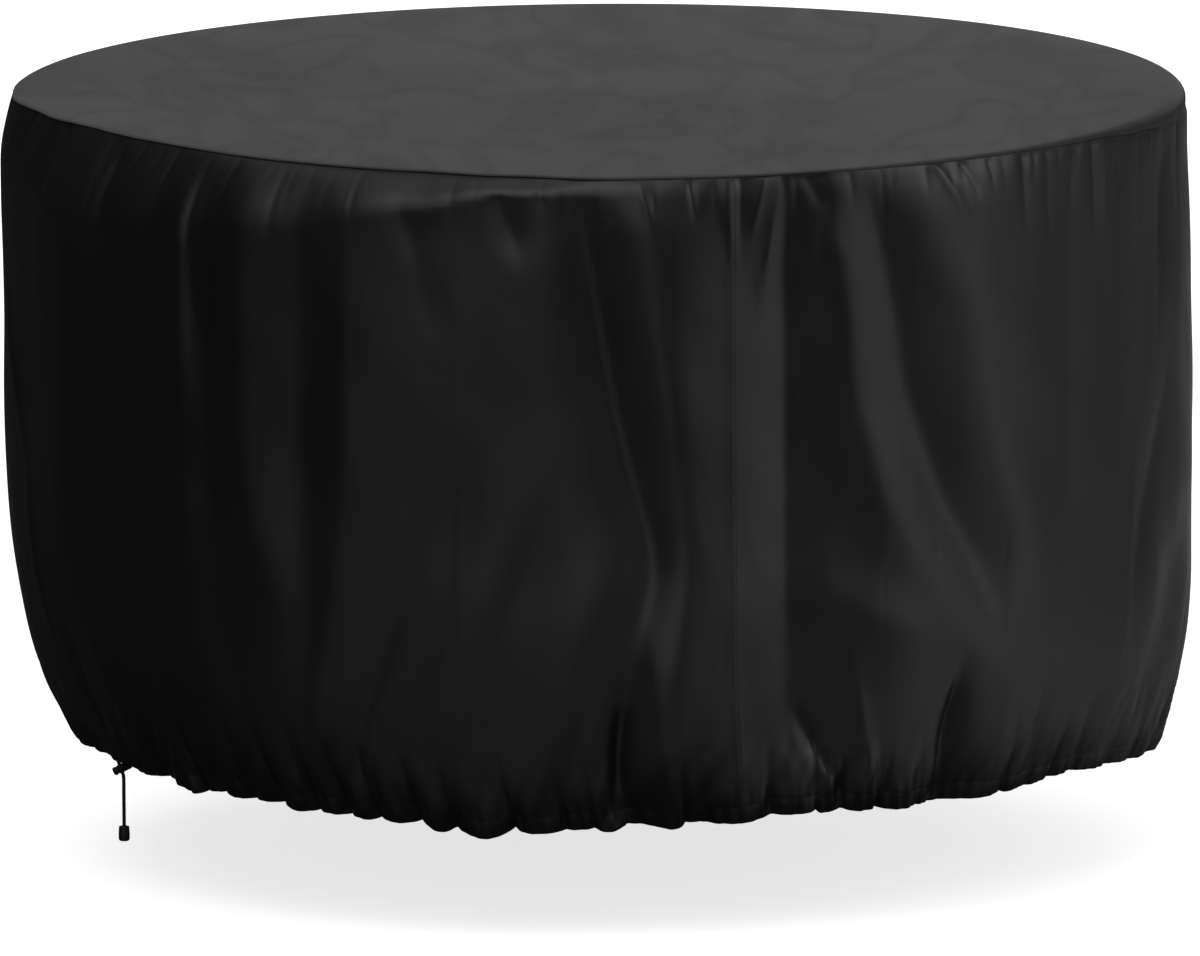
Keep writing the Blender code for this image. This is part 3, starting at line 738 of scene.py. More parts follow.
def pulled_in(angle, share):
    """How much of the hem's pull reaches this place. It starts higher up at the left."""
    start = 0.61 + 0.11 * np.sin(np.radians(angle))
    return np.clip((share - start) / (1.0 - start), 0.0, None) ** PULL_POWER


def slackness(angle, drop):
    """Broad soft unevenness, so that no part of the skirt is a true cylinder."""
    turn = np.radians(angle)
    slow = np.sin(3 * turn + 9 * drop + 0.4) + 0.7 * np.sin(8 * turn - 6 * drop + 2.1)
    quick = np.sin(17 * turn + 11 * drop + 1.0) * np.sin(14 * drop - 5 * turn)
    fine = np.sin(37 * turn - 17 * drop + 0.3) * np.sin(23 * drop + 9 * turn + 1.2)
    return 0.0009 * slow + 0.0011 * quick + 0.0005 * fine


def fullness(angle, drop):
    """The skirt stands out a little at the right end, and low down at the left end."""
    right = np.exp(-((turn_between(angle, 92.0) / 26.0) ** 2))
    left = np.exp(-((turn_between(angle, -100.0) / 26.0) ** 2))
    high = ramp(drop, 0.06, 0.20) * (1.0 - ramp(drop, 0.52, 0.66))
    return RIGHT_FULL * right * high + LEFT_FULL * left * ramp(drop, 0.50, 0.64)


def fine_gathers(angle, above):
    """The small gathers that the drawcord leaves in the hem, from -1.5 to 1.5."""
    turn = np.radians(angle)
    wander = 2.2 * np.sin(11 * turn + 0.5) + 1.7 * np.sin(23 * turn + 1.9)
    size = 0.55 + 0.45 * np.sin(9 * turn + 0.8) * np.sin(4 * turn + 2.0)
    close = np.sin(210 * turn + wander + 40 * above) * size
    return close + 0.5 * np.sin(287 * turn - wander - 30 * above)


def hem_crumple(angle, above):
    """Uneven folds a thumb wide, where the gathered cloth above the casing has no room."""
    turn = np.radians(angle) - HEM_LEAN * above
    wander = 1.9 * np.sin(13 * turn + 0.7) + 1.4 * np.sin(29 * turn + 2.6)
    size = 0.5 + 0.5 * np.sin(7 * turn + 1.4) * np.sin(12 * turn + 0.2)
    broad = np.sin(74 * turn + wander)
    narrow = np.sin(121 * turn - 1.3 * wander + 34 * above)
    return (broad + 0.7 * narrow) * size


def cord_mouth(angle, above):
    """The casing stands out round the place where the drawcord leaves it."""
    side = turn_between(angle, LOCK_ANGLE) / CORD_MOUTH_WIDTH
    return CORD_MOUTH_SWELL * np.exp(-(side**2)) * (1.0 - ramp(above, 0.004, 0.022))


def side_seam(angle):
    """The lapped upright seam: a step at its edge, falling away softly over its allowance."""
    across = turn_between(angle, SIDE_SEAM_ANGLE) * DEGREE
    step = ramp(across, -0.0010, 0.0008)
    return SIDE_SEAM_RISE * step * (1.0 - ramp(across, SIDE_SEAM_LAP, SIDE_SEAM_LAP + 0.006))


def shoulder(angle, below):
    """How far in the cloth lies between the rim seam and the table's edge, and which way it
    faces there: outward and upward parts. It slants all round, and bulges a little more from
    the left of the front to its middle."""
    inset = level_at(SEAM_INSETS, angle)
    tall = level_at(SHOULDER_TALLS, angle)
    around = turn_between(angle, 0.0)
    rounded = SHOULDER_BULGE * ramp(around, -50.0, -24.0) * (1.0 - ramp(around, -10.0, 8.0))
    left = 1.0 - np.clip(below / tall, 0.0005, 1.0)
    bend = np.sqrt(1.0 - left**2)
    slanted = 1.0 - rounded
    reach = rounded * bend + slanted * (1.0 - left**SHOULDER_SLANT)
    slope = rounded * left / bend + slanted * SHOULDER_SLANT * left ** (SHOULDER_SLANT - 1.0)
    slope = slope * inset / tall
    size = np.hypot(1.0, slope)
    return inset * (1.0 - reach), 1.0 / size, slope / size


def on_skirt(angle, share, inward=0.0):
    """Places on the skirt's outer face, as an array of points, or inward of it by that much. A
    share below zero lies on the seam's allowance, flat under the top panel."""
    angle, share, inward = np.broadcast_arrays(
        np.asarray(angle, float), np.asarray(share, float), np.asarray(inward, float)
    )
    seam = level_at(SEAM_LEVELS, angle) + SEAM_GAP
    hem = level_at(HEM_LEVELS, angle)
    edge, belly = hem_shape(angle)
    behind = np.clip(-SKIRT_TALL * share, 0.0, None)
    drop = seam + np.clip(share, 0.0, None) * (hem - seam)
    drop = drop + (edge - hem) * ramp(share, HEM_ZONE, 1.0)
    below = drop - seam
    above = (1.0 - share) * SKIRT_TALL
    still = np.exp(-((turn_between(angle, LOCK_ANGLE) / LOCK_STILL) ** 2))
    pull = pulled_in(angle, share)
    gathered = ramp(share, GATHER_TOP, 1.0)
    moving = 1.0 - still
    set_in, outward, upward = shoulder(angle, below)

    radius = TOP_RADIUS - pull * (TOP_RADIUS - HEM_RADIUS) - set_in
    radius = radius + fold_relief(angle, share)
    radius = radius + drag_relief(angle, drop) * (1.0 - ramp(share, HEM_ZONE, 1.0))
    radius = radius + fullness(angle, drop) * moving
    radius = radius + GATHER_DEPTH * (belly - 0.5) * gathered**1.5 * moving
    radius = radius + crease_relief(GATHERS, angle, drop) * gathered * moving
    near_hem = ramp(share, *CRUMPLE_ZONE) * moving
    radius = radius + CRUMPLE_DEPTH * hem_crumple(angle, above) * near_hem
    radius = radius + FINE_GATHER * fine_gathers(angle, above) * ramp(share, *FINE_ZONE) * moving
    radius = radius + side_seam(angle)

    relief = slackness(angle, drop) * ramp(below, *SLACK_ZONE) * (1.0 - 0.6 * gathered)
    relief = relief + crease_relief(CREASES, angle, drop) * ramp(below, *CREASE_ZONE)
    pinch = ramp(below, *PUCKER_ZONE) * (1.0 - ramp(below, *PUCKER_END)) * (1.0 - 0.6 * upward)
    inset = level_at(SEAM_INSETS, angle)
    pinch = pinch * (1.0 - PUCKER_WEAK * ramp(inset, *PUCKER_WEAK_INSETS))
    relief = relief + crease_relief(PUCKERS, angle, drop) * pinch
    radius = radius + relief * outward

    casing = np.clip(above / CASING_HEIGHT, 0.0, 1.0)
    radius = radius + CASING_SWELL * np.sin(np.pi * casing) ** 0.7 * (1.0 - 0.5 * still)
    from_row = (above - CASING_HEIGHT) / CASING_STITCH_WIDTH
    radius = radius - CASING_STITCH_DIP * np.exp(-(from_row**2))
    radius = radius + cord_mouth(angle, above)

    radius = radius - SEAM_DIP * np.exp(-below / SEAM_DIP_WIDTH) - behind
    radius = radius - inward
    turn = np.radians(angle)
    shift = HEM_SHIFT * pull
    sink = SEAM_ALLOWANCE_SINK * ramp(behind, 0.0, SEAM_ALLOWANCE_BEND)
    height = SHEET - drop + relief * upward - sink
    return stack(shift + radius * np.sin(turn), -radius * np.cos(turn), height)


# ---------------------------------------------------------------- the skirt


SKIRT_COARSE = 720
SKIRT_FINE = 1440
RIM_ROWS = 16
RIM_FOOT = 0.125
BODY_ROWS = 40
GATHER_ROWS = 14
CASING_MARGIN = 0.006

# Heights above the hem of the rows outside the casing, the turns round the hem's edge, and the
# heights of the rows inside with how far in they lie.
CASING_ROWS = (
    0.0225, 0.0205, 0.0190, 0.0177, 0.0160, 0.0135, 0.0105, 0.0075, 0.0050, 0.0030,
)
EDGE_TURNS = (25.0, 55.0, 90.0, 130.0, 180.0)
INSIDE_ROWS = ((0.006, 0.0048), (0.011, 0.0046), (0.0170, 0.0032), (0.0183, 0.0025))

Row = namedtuple("Row", "share inward columns")


def hem_row(above, inward=0.0):
    return Row(1.0 - above / SKIRT_TALL, inward, SKIRT_FINE)


def skirt_rows():
    """Each row of the skirt from the rim seam down, round the hem's edge and up inside it."""
    rows = [
        Row(-SEAM_ALLOWANCE / SKIRT_TALL, 0.0, SKIRT_FINE),
        Row(-SEAM_ALLOWANCE_BEND / SKIRT_TALL, 0.0, SKIRT_FINE),
    ]
    for part in np.linspace(0.0, 1.0, RIM_ROWS):
        rows.append(Row(RIM_FOOT * part**2.1, 0.0, SKIRT_FINE))
    for share in np.linspace(RIM_FOOT, GATHER_TOP, BODY_ROWS)[1:]:
        rows.append(Row(share, 0.0, SKIRT_COARSE))
    casing_top = 1.0 - (CASING_HEIGHT + CASING_MARGIN) / SKIRT_TALL
    for share in np.linspace(GATHER_TOP, casing_top, GATHER_ROWS)[1:]:
        rows.append(Row(share, 0.0, SKIRT_FINE))
    rows += [hem_row(above) for above in CASING_ROWS]
    for degrees in EDGE_TURNS:
        turn = math.radians(degrees)
        inward = CASING_TURN * (1.0 - math.cos(turn))
        rows.append(hem_row(CASING_TURN * (1.0 - math.sin(turn)), inward))
    rows += [hem_row(above, inward) for above, inward in INSIDE_ROWS]
    return rows


def ringed_faces(rings):
    """Faces between rings of points, with where each corner lies on the flat cloth. Each ring
    is (first index, columns, across, down); across has one more entry than the ring has points.
    """
    faces = []
    corners = []

    def corner(ring, column):
        first, columns, across, down = ring
        corners.append((across[column], down[column % columns]))
        return first + column % columns

    for upper, lower in zip(rings, rings[1:]):
        if upper[1] == lower[1]:
            for column in range(upper[1]):
                faces.append(
                    (
                        corner(upper, column),
                        corner(lower, column),
                        corner(lower, column + 1),
                        corner(upper, column + 1),
                    )
                )
            continue
        wide, fine = (upper, lower) if upper[1] < lower[1] else (lower, upper)
        flip = wide is lower
        for column in range(wide[1]):
            places = (
                ((wide, column), (fine, 2 * column), (fine, 2 * column + 1)),
                ((wide, column), (fine, 2 * column + 1), (wide, column + 1)),
                ((wide, column + 1), (fine, 2 * column + 1), (fine, 2 * column + 2)),
            )
            for place in places:
                ordered = place[::-1] if flip else place
                faces.append(tuple(corner(ring, index) for ring, index in ordered))
    return faces, corners


def ring_angles(count):
    """A row's angles, from just beside the side seam on."""
    return SIDE_SEAM_ANGLE - 0.4 + 360.0 * np.arange(count) / count


def make_skirt():
    """The gathered strip, closed at its side seam, with its hem turned up as a casing."""
    points = []
    rings = []
    count = 0
    depth = 0.0
    last = None
    for row in skirt_rows():
        angle = ring_angles(row.columns)
        places = on_skirt(angle, row.share, row.inward)
        across = np.radians(np.append(angle, angle[0] + 360.0)) * CLOTH_RADIUS
        here = places[:: row.columns // SKIRT_COARSE]
        if last is not None:
            depth += float(np.mean(np.linalg.norm(here - last, axis=1)))
        last = here
        rings.append((count, row.columns, across, np.full(row.columns, depth)))
        points.append(places)
        count += row.columns
    faces, metres = ringed_faces(rings)
    skirt = mesh_piece("skirt_cloth", np.vstack(points), faces, metres)
    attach(skirt, "cover")
    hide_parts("skirt")
    return skirt


# ---------------------------------------------------------------- the top panel

PANEL_COLUMNS = 720
PANEL_INNER_COLUMNS = 360
PANEL_RINGS = 26
PANEL_FINE_FROM = 0.85

# The turns of the panel's bend, the parts of the straight fall below it, and the drop at which
# the skirt's puckers are read, which the panel's edge follows a little.
BEND_TURNS = (12.0, 24.0, 36.0, 48.0, 60.0, 72.0, 84.0)
FALL_PARTS = (0.15, 0.40, 0.62, 0.80, 0.92, 1.0)
PUCKER_DROP = 0.03


def panel_sag(x, y):
    """The table holds the panel flat, so it only rises and falls by a fraction of a millimetre."""
    broad = np.sin(5.1 * x + 2.3 * y + 0.4) * np.sin(3.7 * y - 1.9 * x + 1.1)
    soft = np.sin(11.0 * x - 6.0 * y) * np.sin(9.0 * y + 4.0 * x + 0.7)
    return 0.0007 * broad + 0.0003 * soft


def edge_bend(seam):
    """How far in from the edge the panel starts to bend, for a seam's drop."""
    return EDGE_SOFT + EDGE_SLANT * np.clip(seam - EDGE_SHALLOW, 0.0, None)


def make_top_panel():
    """One round panel: flat, then over its soft edge and down to the rim seam."""
    points = [np.array([[0.0, 0.0, SHEET]])]
    rings = []
    count = 1

    def add_ring(columns, radius, z, flat):
        nonlocal count
        turn = 2.0 * np.pi * np.arange(columns) / columns
        points.append(stack(radius * np.sin(turn), -radius * np.cos(turn), z))
        closed = np.append(turn, 0.0)
        flat = np.append(flat, flat[:1])
        rings.append((count, columns, flat * np.sin(closed), -flat * np.cos(closed)))
        count += columns

    for part in np.linspace(0.0, 1.0, PANEL_RINGS + 1)[1:]:
        columns = PANEL_INNER_COLUMNS if part < PANEL_FINE_FROM else PANEL_COLUMNS
        turn = 2.0 * np.pi * np.arange(columns) / columns
        angle = np.degrees(turn)
        bend_wide = edge_bend(level_at(SEAM_LEVELS, angle))
        reach = TOP_RADIUS - bend_wide - level_at(SEAM_INSETS, angle)
        radius = reach * part**0.8
        sag = panel_sag(radius * np.sin(turn), -radius * np.cos(turn))
        calm = 1.0 - ramp(part, 0.80, 1.0)
        add_ring(columns, radius, SHEET + sag * calm, radius)
    angle = 360.0 * np.arange(PANEL_COLUMNS) / PANEL_COLUMNS
    seam = level_at(SEAM_LEVELS, angle)
    bend_tall = np.minimum(EDGE_ROUND, EDGE_SHARE * seam)
    bend_wide = edge_bend(seam)
    edge = TOP_RADIUS - level_at(SEAM_INSETS, angle)
    pucker = crease_relief(PUCKERS, angle, PUCKER_DROP)
    for degrees in BEND_TURNS:
        bend = math.radians(degrees)
        soft = 0.20 * pucker * ramp(degrees, 20.0, 84.0)
        radius = edge - bend_wide * (1.0 - math.sin(bend)) + soft
        z = SHEET - bend_tall * (1.0 - math.cos(bend))
        add_ring(PANEL_COLUMNS, radius, z, edge - bend_wide * (1.0 - bend))
    straight = seam - bend_tall
    flat = edge + QUARTER_MORE * bend_wide
    for part in FALL_PARTS:
        left = (1.0 - part) * straight
        dip = SEAM_DIP * np.exp(-left / SEAM_DIP_WIDTH)
        z = SHEET - bend_tall - part * straight
        add_ring(PANEL_COLUMNS, edge - dip + 0.25 * pucker, z, flat + part * straight)
    add_ring(
        PANEL_COLUMNS,
        edge - PANEL_ALLOWANCE,
        SHEET - seam - PANEL_ALLOWANCE_DROP,
        flat + straight + PANEL_ALLOWANCE,
    )
    faces, metres = disc_faces(rings)
    panel = mesh_piece("top_panel_cloth", np.vstack(points), faces, metres)
    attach(panel, "cover")
    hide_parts("top_panel")
    return panel


def disc_faces(rings):
    """The fan of faces at the middle, then the faces between the rings."""
    faces = []
    corners = []
    first, columns, across, down = rings[0]
    for column in range(columns):
        after = (column + 1) % columns
        faces.append((0, first + column, first + after))
        corners += [(0.0, 0.0), (across[column], down[column]), (across[after], down[after])]
    ringed, ringed_corners = ringed_faces(rings)
    return faces + ringed, corners + ringed_corners


# ---------------------------------------------------------------- stitching


def add_stitches(points, faces, starts, ends, out):
    """A short rounded stitch of thread for each pair of places, lying on the cloth."""
    middles = 0.5 * (starts + ends) + out * 0.3 * STITCH_RADIUS
    heading = ends - starts
    heading /= np.linalg.norm(heading, axis=1)[:, None]
    side = np.cross(heading, out)
    side /= np.linalg.norm(side, axis=1)[:, None]
    sections = ((-0.38, 0.75, 0.0), (0.0, 1.0, 0.35), (0.38, 0.75, 0.0))
    for middle, along, across, up in zip(middles, heading, side, out):
        first = len(points)
        points.append(middle - along * 0.5 * STITCH_LENGTH - up * STITCH_RADIUS)
        for place, size, rise in sections:
            centre = middle + along * place * STITCH_LENGTH + up * rise * STITCH_RADIUS
            for corner in range(STITCH_SIDES):
                turn = math.pi * corner / 3.0
                reach = size * STITCH_RADIUS
                points.append(centre + reach * (math.cos(turn) * across + math.sin(turn) * up))
        points.append(middle + along * 0.5 * STITCH_LENGTH - up * STITCH_RADIUS)
        last = len(points) - 1
        for corner in range(STITCH_SIDES):
            after = (corner + 1) % STITCH_SIDES
            faces.append((first, first + 1 + after, first + 1 + corner))
            for low in (first + 1, first + 1 + STITCH_SIDES):
                high = low + STITCH_SIDES
                faces.append((low + corner, low + after, high + after, high + corner))
            faces.append((last, high + corner, high + after))


def out_of_cloth(angle, share):
    """The direction straight out of the cloth at each place."""
    here = on_skirt(angle, share)
    beside = on_skirt(angle + 0.15, share)
    below = on_skirt(angle, share + 0.003)
    out = np.cross(below - here, beside - here)
    return out / np.linalg.norm(out, axis=1)[:, None]


def make_stitching():
    """The row that closes the hem's casing, and the twin rows down the side seam."""
    points = []
    faces = []
    around = 2.0 * math.pi * HEM_RADIUS
    count = int(around / STITCH_STEP)
    start = 360.0 * np.arange(count) / count
    long = 360.0 * STITCH_LENGTH / around
    share = 1.0 - CASING_HEIGHT / SKIRT_TALL
    begins = on_skirt(start, share)
    stops = on_skirt(start + long, share)
    add_stitches(points, faces, begins, stops, out_of_cloth(start + 0.5 * long, share))
    count = int(SKIRT_TALL * SIDE_ROW_SPAN / STITCH_STEP)
    share = SIDE_ROW_START + SIDE_ROW_SPAN * np.arange(count) / count
    for offset in SIDE_ROWS:
        angle = SIDE_SEAM_ANGLE + offset / DEGREE
        begins = on_skirt(angle, share)
        stops = on_skirt(angle, share + STITCH_LENGTH / SKIRT_TALL)
        add_stitches(points, faces, begins, stops, out_of_cloth(angle, share + 0.002))
    thread = mesh_piece("hem_and_seam_stitching", np.array(points), faces)
    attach(thread, "cover")
    return thread


# ---------------------------------------------------------------- finishes


def node_group(name, vector, numbers, outputs):
    """An empty shader group: a vector input, number inputs with their defaults, and number
    outputs. It comes with the sockets that its own nodes read and fill."""
    group = bpy.data.node_groups.new(name, "ShaderNodeTree")
    sockets = group.interface
    sockets.new_socket(name=vector, in_out="INPUT", socket_type="NodeSocketVector")
    for socket, value in numbers.items():
        made = sockets.new_socket(name=socket, in_out="INPUT", socket_type="NodeSocketFloat")
        made.default_value = value
    for socket in outputs:
        sockets.new_socket(name=socket, in_out="OUTPUT", socket_type="NodeSocketFloat")
    return group, add(group, "NodeGroupInput").outputs, add(group, "NodeGroupOutput").inputs


def add(tree, kind, values=None, **settings):
    node = tree.nodes.new(kind)
    for key, value in settings.items():
        setattr(node, key, value)
    for key, value in (values or {}).items():
        node.inputs[key].default_value = value
    return node


def wire(tree, source, target):
    """Joins an output to an input, or sets the input if the source is a plain number."""
    if isinstance(source, (int, float)):
        target.default_value = source
    else:
        tree.links.new(source, target)


def maths(tree, operation, *sources):
    node = add(tree, "ShaderNodeMath", operation=operation)
    for source, target in zip(sources, node.inputs):
        wire(tree, source, target)
    return node.outputs[0]


def chained(tree, operation, sources):
    """One node after another, each taking in the next source."""
    result = sources[0]
    for source in sources[1:]:
        result = maths(tree, operation, result, source)
    return result


def times(tree, *factors):
    return chained(tree, "MULTIPLY", factors)


def plus(tree, *terms):
    return chained(tree, "ADD", terms)


def noise(tree, vector, scale, detail=3.0, roughness=0.5, distortion=0.0):
    node = add(tree, "ShaderNodeTexNoise", {"Detail": detail, "Roughness": roughness})
    node.inputs["Distortion"].default_value = distortion
    wire(tree, vector, node.inputs["Vector"])
    wire(tree, scale, node.inputs["Scale"])
    return node.outputs["Fac"]


def spread(tree, source, low, high, to_low=0.0, to_high=1.0):
    node = add(tree, "ShaderNodeMapRange", interpolation_type="SMOOTHSTEP")
    wire(tree, source, node.inputs["Value"])
    for value, socket in ((low, 1), (high, 2), (to_low, 3), (to_high, 4)):
        node.inputs[socket].default_value = value
    return node.outputs["Result"]


def build_woven_threads():
    """Plain weave: threads that pass over and under each other. Flat Cloth is in metres. Its tone
    output is the threads' own tone, with painted shade in the hollows between them.
    """
    group, given, made = node_group(
        "woven threads",
        "Flat Cloth",
        {"Thread Spacing": 0.0007, "Unevenness": 0.3},
        ("Height", "Thread Tone and Painted Gap Shade"),
    )
    spacing = given["Thread Spacing"]
    per_metre = maths(group, "DIVIDE", 1.0, spacing)
    scaled = add(group, "ShaderNodeVectorMath", operation="SCALE")
    wire(group, given["Flat Cloth"], scaled.inputs[0])
    wire(group, per_metre, scaled.inputs["Scale"])
    parts = add(group, "ShaderNodeSeparateXYZ")
    wire(group, scaled.outputs[0], parts.inputs[0])
    sway = noise(group, scaled.outputs[0], 0.11, 2.0)
    sway = times(group, maths(group, "SUBTRACT", sway, 0.5), 1.4, given["Unevenness"])
    warp = plus(group, parts.outputs["X"], sway)
    weft = maths(group, "SUBTRACT", parts.outputs["Y"], sway)
    warp_wave = maths(group, "SINE", times(group, warp, math.pi))
    weft_wave = maths(group, "SINE", times(group, weft, math.pi))
    both = times(group, warp_wave, weft_wave)
    warp_over = spread(group, both, -0.15, 0.15)
    warp_round = maths(group, "ABSOLUTE", warp_wave)
    weft_round = maths(group, "ABSOLUTE", weft_wave)
    warp_thick = maths(group, "POWER", warp_round, 0.6)
    warp_face = times(group, warp_thick, spread(group, weft_round, 0.0, 0.9))
    weft_thick = maths(group, "POWER", weft_round, 0.6)
    weft_face = times(group, weft_thick, spread(group, warp_round, 0.0, 0.9))
    height = add(group, "ShaderNodeMix", data_type="FLOAT")
    wire(group, warp_over, height.inputs[0])
    wire(group, weft_face, height.inputs[2])
    wire(group, warp_face, height.inputs[3])
    wire(group, height.outputs[0], made["Height"])
    # The warp lies a little lighter than the weft, which is the threads' own tone. The thread height
    # is added to it as painted shade: darker in the hollows between the threads, lighter on their
    # crowns.
    shade = times(group, maths(group, "SUBTRACT", warp_over, 0.5), 0.4)
    shade = plus(group, shade, height.outputs[0])
    wire(group, shade, made["Thread Tone and Painted Gap Shade"])
    return group


def build_soft_crumple():
    """The small soft creases that a coated cloth keeps from being folded and handled."""
    group, given, made = node_group(
        "soft crumple",
        "Flat Cloth",
        {"Creases per Metre": 14.0, "Stretch": 0.35},
        ("Height", "Crease Mask"),
    )
    squeeze = add(group, "ShaderNodeVectorMath", operation="MULTIPLY")
    shape = add(group, "ShaderNodeCombineXYZ")
    wire(group, 1.0, shape.inputs["X"])
    wire(group, given["Stretch"], shape.inputs["Y"])
    wire(group, 1.0, shape.inputs["Z"])
    wire(group, given["Flat Cloth"], squeeze.inputs[0])
    wire(group, shape.outputs[0], squeeze.inputs[1])
    per_metre = given["Creases per Metre"]
    broad = noise(group, squeeze.outputs[0], per_metre, 2.0, 0.45, 0.6)
    lines = maths(group, "ABSOLUTE", maths(group, "SUBTRACT", broad, 0.5))
    mask = spread(group, lines, 0.0, 0.09, 1.0, 0.0)
    closer = times(group, per_metre, 3.1)
    small = noise(group, squeeze.outputs[0], closer, 3.0, 0.5, 0.3)
    height = plus(group, times(group, small, 0.35), broad)
    height = maths(group, "SUBTRACT", height, times(group, mask, 0.12))
    wire(group, height, made["Height"])
    wire(group, mask, made["Crease Mask"])
    return group


def build_handling_wear():
    """Where hands, weather and dust have dulled or polished a surface."""
    group, given, made = node_group(
        "handling wear",
        "Place",
        {"Patches per Metre": 3.0, "Amount": 0.5},
        ("Patches", "Specks"),
    )
    place = given["Place"]
    amount = given["Amount"]
    patches = noise(group, place, given["Patches per Metre"], 5.0, 0.55, 0.4)
    patches = times(group, spread(group, patches, 0.35, 0.70), amount)
    wire(group, patches, made["Patches"])
    fine_scale = times(group, given["Patches per Metre"], 130.0)
    specks = spread(group, noise(group, place, fine_scale, 2.0), 0.66, 0.78)
    thin = noise(group, place, times(group, fine_scale, 0.05), 2.0)
    specks = times(group, specks, spread(group, thin, 0.4, 0.7), amount)
    wire(group, specks, made["Specks"])
    return group


def build_fine_grain():
    """The fine grain of a moulded or spun surface."""
    group, given, made = node_group(
        "fine grain", "Place", {"Grains per Metre": 3000.0}, ("Height", "Variation")
    )
    place = given["Place"]
    scale = given["Grains per Metre"]
    cells = add(group, "ShaderNodeTexVoronoi", feature="SMOOTH_F1")
    wire(group, place, cells.inputs["Vector"])
    wire(group, scale, cells.inputs["Scale"])
    soft = noise(group, place, times(group, scale, 0.4), 3.0)
    height = plus(group, cells.outputs["Distance"], times(group, soft, 0.6))
    wire(group, height, made["Height"])
    variation = noise(group, place, times(group, scale, 0.06), 3.0)
    wire(group, variation, made["Variation"])
    return group


def place_group(tree, group, values, **links):
    node = add(tree, "ShaderNodeGroup", node_tree=group)
    for name, value in values.items():
        node.inputs[name].default_value = value
    for name, source in links.items():
        wire(tree, source, node.inputs[name.replace("_", " ")])
    return node


def new_finish(name):
    material = bpy.data.materials.new(name)
    material.use_nodes = True
    tree = material.node_tree
    return material, tree, tree.nodes["Principled BSDF"]


def tint(tree, mask, dark, light):
    node = add(tree, "ShaderNodeMix", data_type="RGBA")
    wire(tree, mask, node.inputs[0])
    node.inputs[6].default_value = (*dark, 1.0)
    node.inputs[7].default_value = (*light, 1.0)
    return node.outputs[2]


def bump(tree, height, depth, strength, normal=None):
    node = add(tree, "ShaderNodeBump", {"Strength": strength, "Distance": depth})
    wire(tree, height, node.inputs["Height"])
    if normal is not None:
        wire(tree, normal, node.inputs["Normal"])
    return node.outputs["Normal"]


def set_surface(tree, shader, colour, rough, normal, ior):
    for source, socket in ((colour, "Base Color"), (rough, "Roughness"), (normal, "Normal")):
        wire(tree, source, shader.inputs[socket])
    shader.inputs["IOR"].default_value = ior


def add_wear(tree, groups, place, patches, amount):
    """The patches and specks of wear. patches is how many there are to a metre."""
    values = {"Patches per Metre": patches, "Amount": amount}
    return place_group(tree, groups["wear"], values, Place=place).outputs


def add_grain(tree, groups, place, grains):
    return place_group(tree, groups["grain"], {"Grains per Metre": grains}, Place=place).outputs


def flat_cloth(tree):
    return add(tree, "ShaderNodeUVMap", uv_map="cloth_metres").outputs["UV"]


def coated_cloth(name, groups, dark, light, roughness, creases, crease_depth):
    """Black plain-woven cloth under a thin coating: low sheen, fine weave, soft handling creases.
    Its tone runs from dark to light. main sets it lighter for the top panel as painted light, and
    darker for the skirt as painted shade.
    """
    material, tree, shader = new_finish(name)
    flat = flat_cloth(tree)
    weave = place_group(tree, groups["weave"], {"Thread Spacing": 0.0007}, Flat_Cloth=flat).outputs
    values = {"Creases per Metre": creases, "Stretch": 0.4}
    crumple = place_group(tree, groups["crumple"], values, Flat_Cloth=flat).outputs
    wear = add_wear(tree, groups, flat, 2.6, 0.6)
    # shade: the weave's tone with its painted shade between the threads, and the lighter patches and
    # specks of wear.
    shade = plus(
        tree,
        times(tree, weave["Thread Tone and Painted Gap Shade"], 0.5),
        times(tree, wear["Patches"], 0.45),
        times(tree, wear["Specks"], 0.5),
    )
    dull = times(tree, wear["Patches"], 0.06)
    rough = plus(tree, dull, times(tree, crumple["Crease Mask"], 0.03))
    rough = maths(tree, "SUBTRACT", rough, times(tree, weave["Height"], 0.05))
    rough = plus(tree, rough, roughness)
    normal = bump(tree, crumple["Height"], crease_depth, 0.8)
    normal = bump(tree, weave["Height"], 0.00005, 0.5, normal)
    set_surface(tree, shader, tint(tree, shade, dark, light), rough, normal, 1.46)
    return material


def braided_cord(groups):
    """Black spun braid, matt, with fine fibres along its strands."""
    material, tree, shader = new_finish("braided cord")
    flat = flat_cloth(tree)
    fibre = add_grain(tree, groups, flat, 7000.0)
    wear = add_wear(tree, groups, flat, 30.0, 0.5)
    shade = plus(tree, times(tree, fibre["Variation"], 0.5), wear["Patches"])
    colour = tint(tree, shade, (0.003, 0.003, 0.003), (0.009, 0.009, 0.009))
    rough = plus(tree, times(tree, wear["Patches"], 0.15), 0.70)
    normal = bump(tree, fibre["Height"], 0.00008, 0.6)
    set_surface(tree, shader, colour, rough, normal, 1.30)
    return material


def thread_finish(groups):
    """Black sewing thread, a little glossier than the cord."""
    material, tree, shader = new_finish("black thread")
    place = add(tree, "ShaderNodeTexCoord").outputs["Object"]
    fibre = add_grain(tree, groups, place, 9000.0)
    wear = add_wear(tree, groups, place, 12.0, 0.4)
    shade = plus(tree, fibre["Variation"], wear["Patches"])
    colour = tint(tree, shade, (0.003, 0.003, 0.003), (0.007, 0.007, 0.007))
    rough = plus(tree, times(tree, fibre["Variation"], 0.2), 0.66)
    normal = bump(tree, fibre["Height"], 0.00005, 0.5)
    set_surface(tree, shader, colour, rough, normal, 1.30)
    return material


